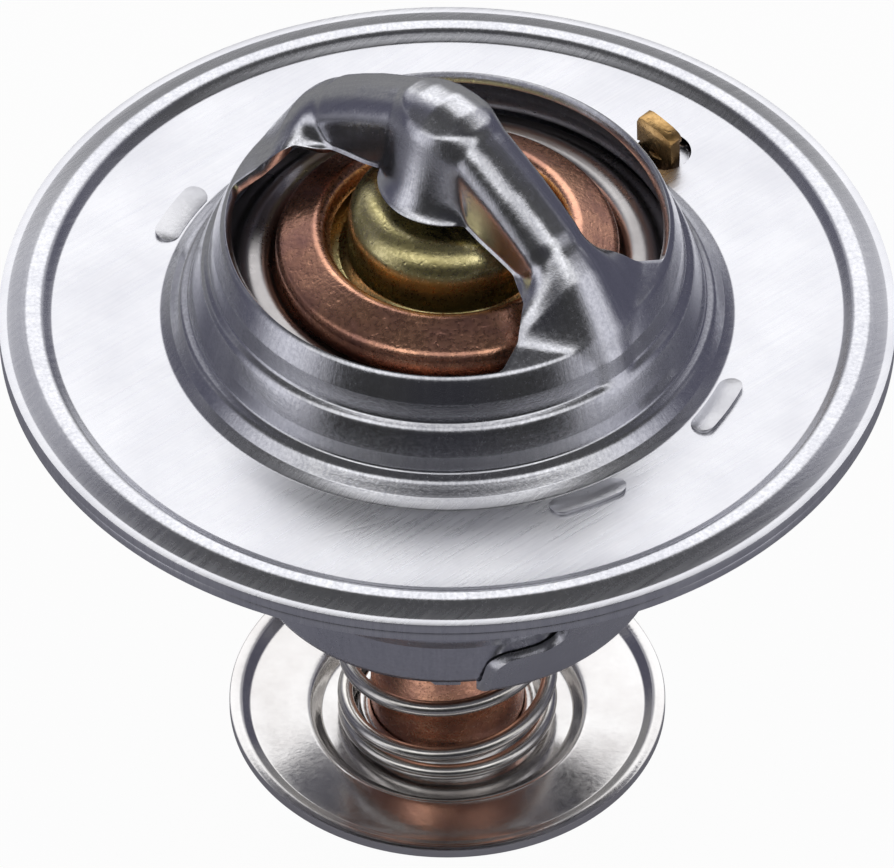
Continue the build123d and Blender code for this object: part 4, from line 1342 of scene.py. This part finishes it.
def make_camera():
    """The camera, in front and above, far off with a long lens."""
    camera_data = bpy.data.cameras.new("camera")
    camera = bpy.data.objects.new("camera", camera_data)
    bpy.context.scene.collection.objects.link(camera)
    height = math.radians(VIEW_HEIGHT)
    aim = Vector((MM * AIM_X, 0, MM * AIM_Z))
    camera.location = aim + MM * VIEW_DISTANCE * Vector((0, -math.cos(height), math.sin(height)))
    look_at(camera, aim)
    camera_data.sensor_width = SENSOR_MM
    camera_data.lens = PIXELS_PER_MM * VIEW_DISTANCE / IMAGE_WIDTH * SENSOR_MM
    camera_data.clip_start = 0.01
    camera_data.clip_end = 20
    bpy.context.scene.camera = camera
    return camera


def make_softbox(name, height_angle, size, power):
    """A rectangular lamp that faces the object. Height 0 is level in front, 90 is above, 180 behind."""
    lamp_data = bpy.data.lights.new(name, "AREA")
    lamp_data.shape = "RECTANGLE"
    lamp_data.size, lamp_data.size_y = size
    lamp_data.energy = power
    lamp = bpy.data.objects.new(name, lamp_data)
    bpy.context.scene.collection.objects.link(lamp)
    up = math.radians(height_angle)
    lamp.location = (0, -math.cos(up) * SOFTBOX_DISTANCE, math.sin(up) * SOFTBOX_DISTANCE)
    look_at(lamp, (0, 0, 0))
    return lamp


def floor_finish():
    """White to the eye, dim where metal mirrors it, and clear from below."""
    material = bpy.data.materials.new("floor_white")
    material.use_nodes = True
    tree = material.node_tree
    tree.nodes.clear()
    do = Sums(tree).do
    path = tree.nodes.new("ShaderNodeLightPath").outputs
    diffuse = linked(tree, "ShaderNodeBsdfDiffuse", Color=FLOOR_PALE).outputs[0]
    dim = linked(tree, "ShaderNodeEmission", Color=FLOOR_DIM, Strength=1.0).outputs[0]
    glow = linked(tree, "ShaderNodeEmission", Strength=1.0).outputs[0]
    clear = tree.nodes.new("ShaderNodeBsdfTransparent").outputs[0]
    below = tree.nodes.new("ShaderNodeNewGeometry").outputs["Backfacing"]
    lit = shader_mixed(tree, do("MULTIPLY", path["Is Glossy Ray"], FLOOR_DIM_SHARE), diffuse, dim)
    seen = shader_mixed(tree, do("MULTIPLY", path["Is Camera Ray"], FLOOR_WHITE_SHARE), lit, glow)
    out = tree.nodes.new("ShaderNodeOutputMaterial")
    tree.links.new(shader_mixed(tree, below, seen, clear), out.inputs["Surface"])
    return material


def make_floor():
    """A wide level floor that leaves the discs room to open above it."""
    z = CAN_END_Z - FLOOR_ROOM
    angles = np.linspace(0, 2 * math.pi, 96, endpoint=False)
    rim = [(FLOOR_R * math.cos(a), FLOOR_R * math.sin(a), z) for a in angles]
    mesh = mesh_from("floor", rim, [tuple(range(len(rim)))])
    floor = new_object("floor", mesh)
    mesh.materials.append(floor_finish())
    return floor


# Levels of the strips at angles about X, in degrees: 0 is level in front, 90 above, 180 behind.
STUDIO_BANDS = [
    (-180, 0.28),
    (-75, 0.15),
    (-32, 0.03),
    (34, 0.04),
    (45, 0.97),
    (62, 0.95),
    (72, 0.07),
    (110, 0.07),
    (122, 0.92),
    (146, 1.12),
    (158, 0.38),
    (180, 0.24),
]


def make_world():
    """Soft strips along X and dark far corners for gloss, even light for the rest, white behind."""
    world = bpy.data.worlds.new("studio")
    bpy.context.scene.world = world
    world.use_nodes = True
    tree = world.node_tree
    tree.nodes.clear()
    do = Sums(tree).do
    way = tree.nodes.new("ShaderNodeTexCoord").outputs["Generated"]
    x, y, z = linked(tree, "ShaderNodeSeparateXYZ", Vector=way).outputs
    height = do("ARCTAN2", z, do("MULTIPLY", y, -1.0))
    bands = tree.nodes.new("ShaderNodeValToRGB")
    tree.links.new(do("MULTIPLY_ADD", height, 0.5 / math.pi, 0.5), bands.inputs[0])
    ramp = bands.color_ramp
    while len(ramp.elements) < len(STUDIO_BANDS):
        ramp.elements.new(0.5)
    for stop, (angle, level) in zip(ramp.elements, STUDIO_BANDS):
        stop.position = angle / 360 + 0.5
        stop.color = (level, level, level, 1)
    off_centre = do("ABSOLUTE", x)
    ahead = do("MULTIPLY", between(tree, y, 0.05, -0.05), between(tree, off_centre, 0.12, 0.45, 1.0, 0.0))
    strips_ahead = mixed(tree, do("MULTIPLY", ahead, 0.55), bands.outputs[0], STRIP_SHADE)
    side_walls = mixed(tree, between(tree, y, 0.10, -0.22), WALL_DARK, WALL_BRIGHT)
    far_corners = do("MULTIPLY", between(tree, y, 0.10, 0.35), between(tree, off_centre, 0.34, 0.50))
    raised = do("MAXIMUM", between(tree, z, 0.12, 0.30), between(tree, x, 0.0, 0.1))
    beside = do("MAXIMUM", do("MULTIPLY", far_corners, raised), between(tree, off_centre, 0.74, 0.93))
    studio = mixed(tree, beside, strips_ahead, side_walls)
    room, strips, white = [
        linked(tree, "ShaderNodeBackground", Color=colour).outputs[0]
        for colour in (ROOM_GREY, studio, BACKDROP_WHITE)
    ]
    path = tree.nodes.new("ShaderNodeLightPath").outputs
    lit = shader_mixed(tree, path["Is Glossy Ray"], room, strips)
    seen = shader_mixed(tree, path["Is Camera Ray"], lit, white)
    tree.links.new(seen, tree.nodes.new("ShaderNodeOutputWorld").inputs["Surface"])


# --- Build ---------------------------------------------------------------------------------------
def main():
    """The stage, every piece and the finishes of the CAD nodes that stay."""
    make_camera()
    make_world()
    make_floor()
    finishes = make_finishes()
    tool = punches()
    upper_frame(tool, finishes["drawn"])
    lower_cup(tool, finishes["drawn"])
    bpy.data.objects.remove(tool)
    spring_carrier(finishes["stirrup"])
    valve_disc(finishes["valve"])
    element_can(finishes["copper"])
    element_guide(finishes["brass"])
    coil = coil_tree()
    main_spring(coil, finishes["wire"])
    bypass_spring(coil, finishes["wire"])
    bypass_seat(finishes["disc"])
    bypass_disc(finishes["disc"])
    retaining_ring(finishes["wire"])
    jiggle_pin(finishes["pin"])
    for node, label in CAD_FINISHES.items():
        finish_cad(node, finishes[label])
    make_softbox("front_box", 56, (1.6, 0.5), 1.0)
    make_softbox("back_box", 140, (2.0, 1.0), 2.2)
    bpy.context.scene.view_settings.view_transform = "Standard"


main()
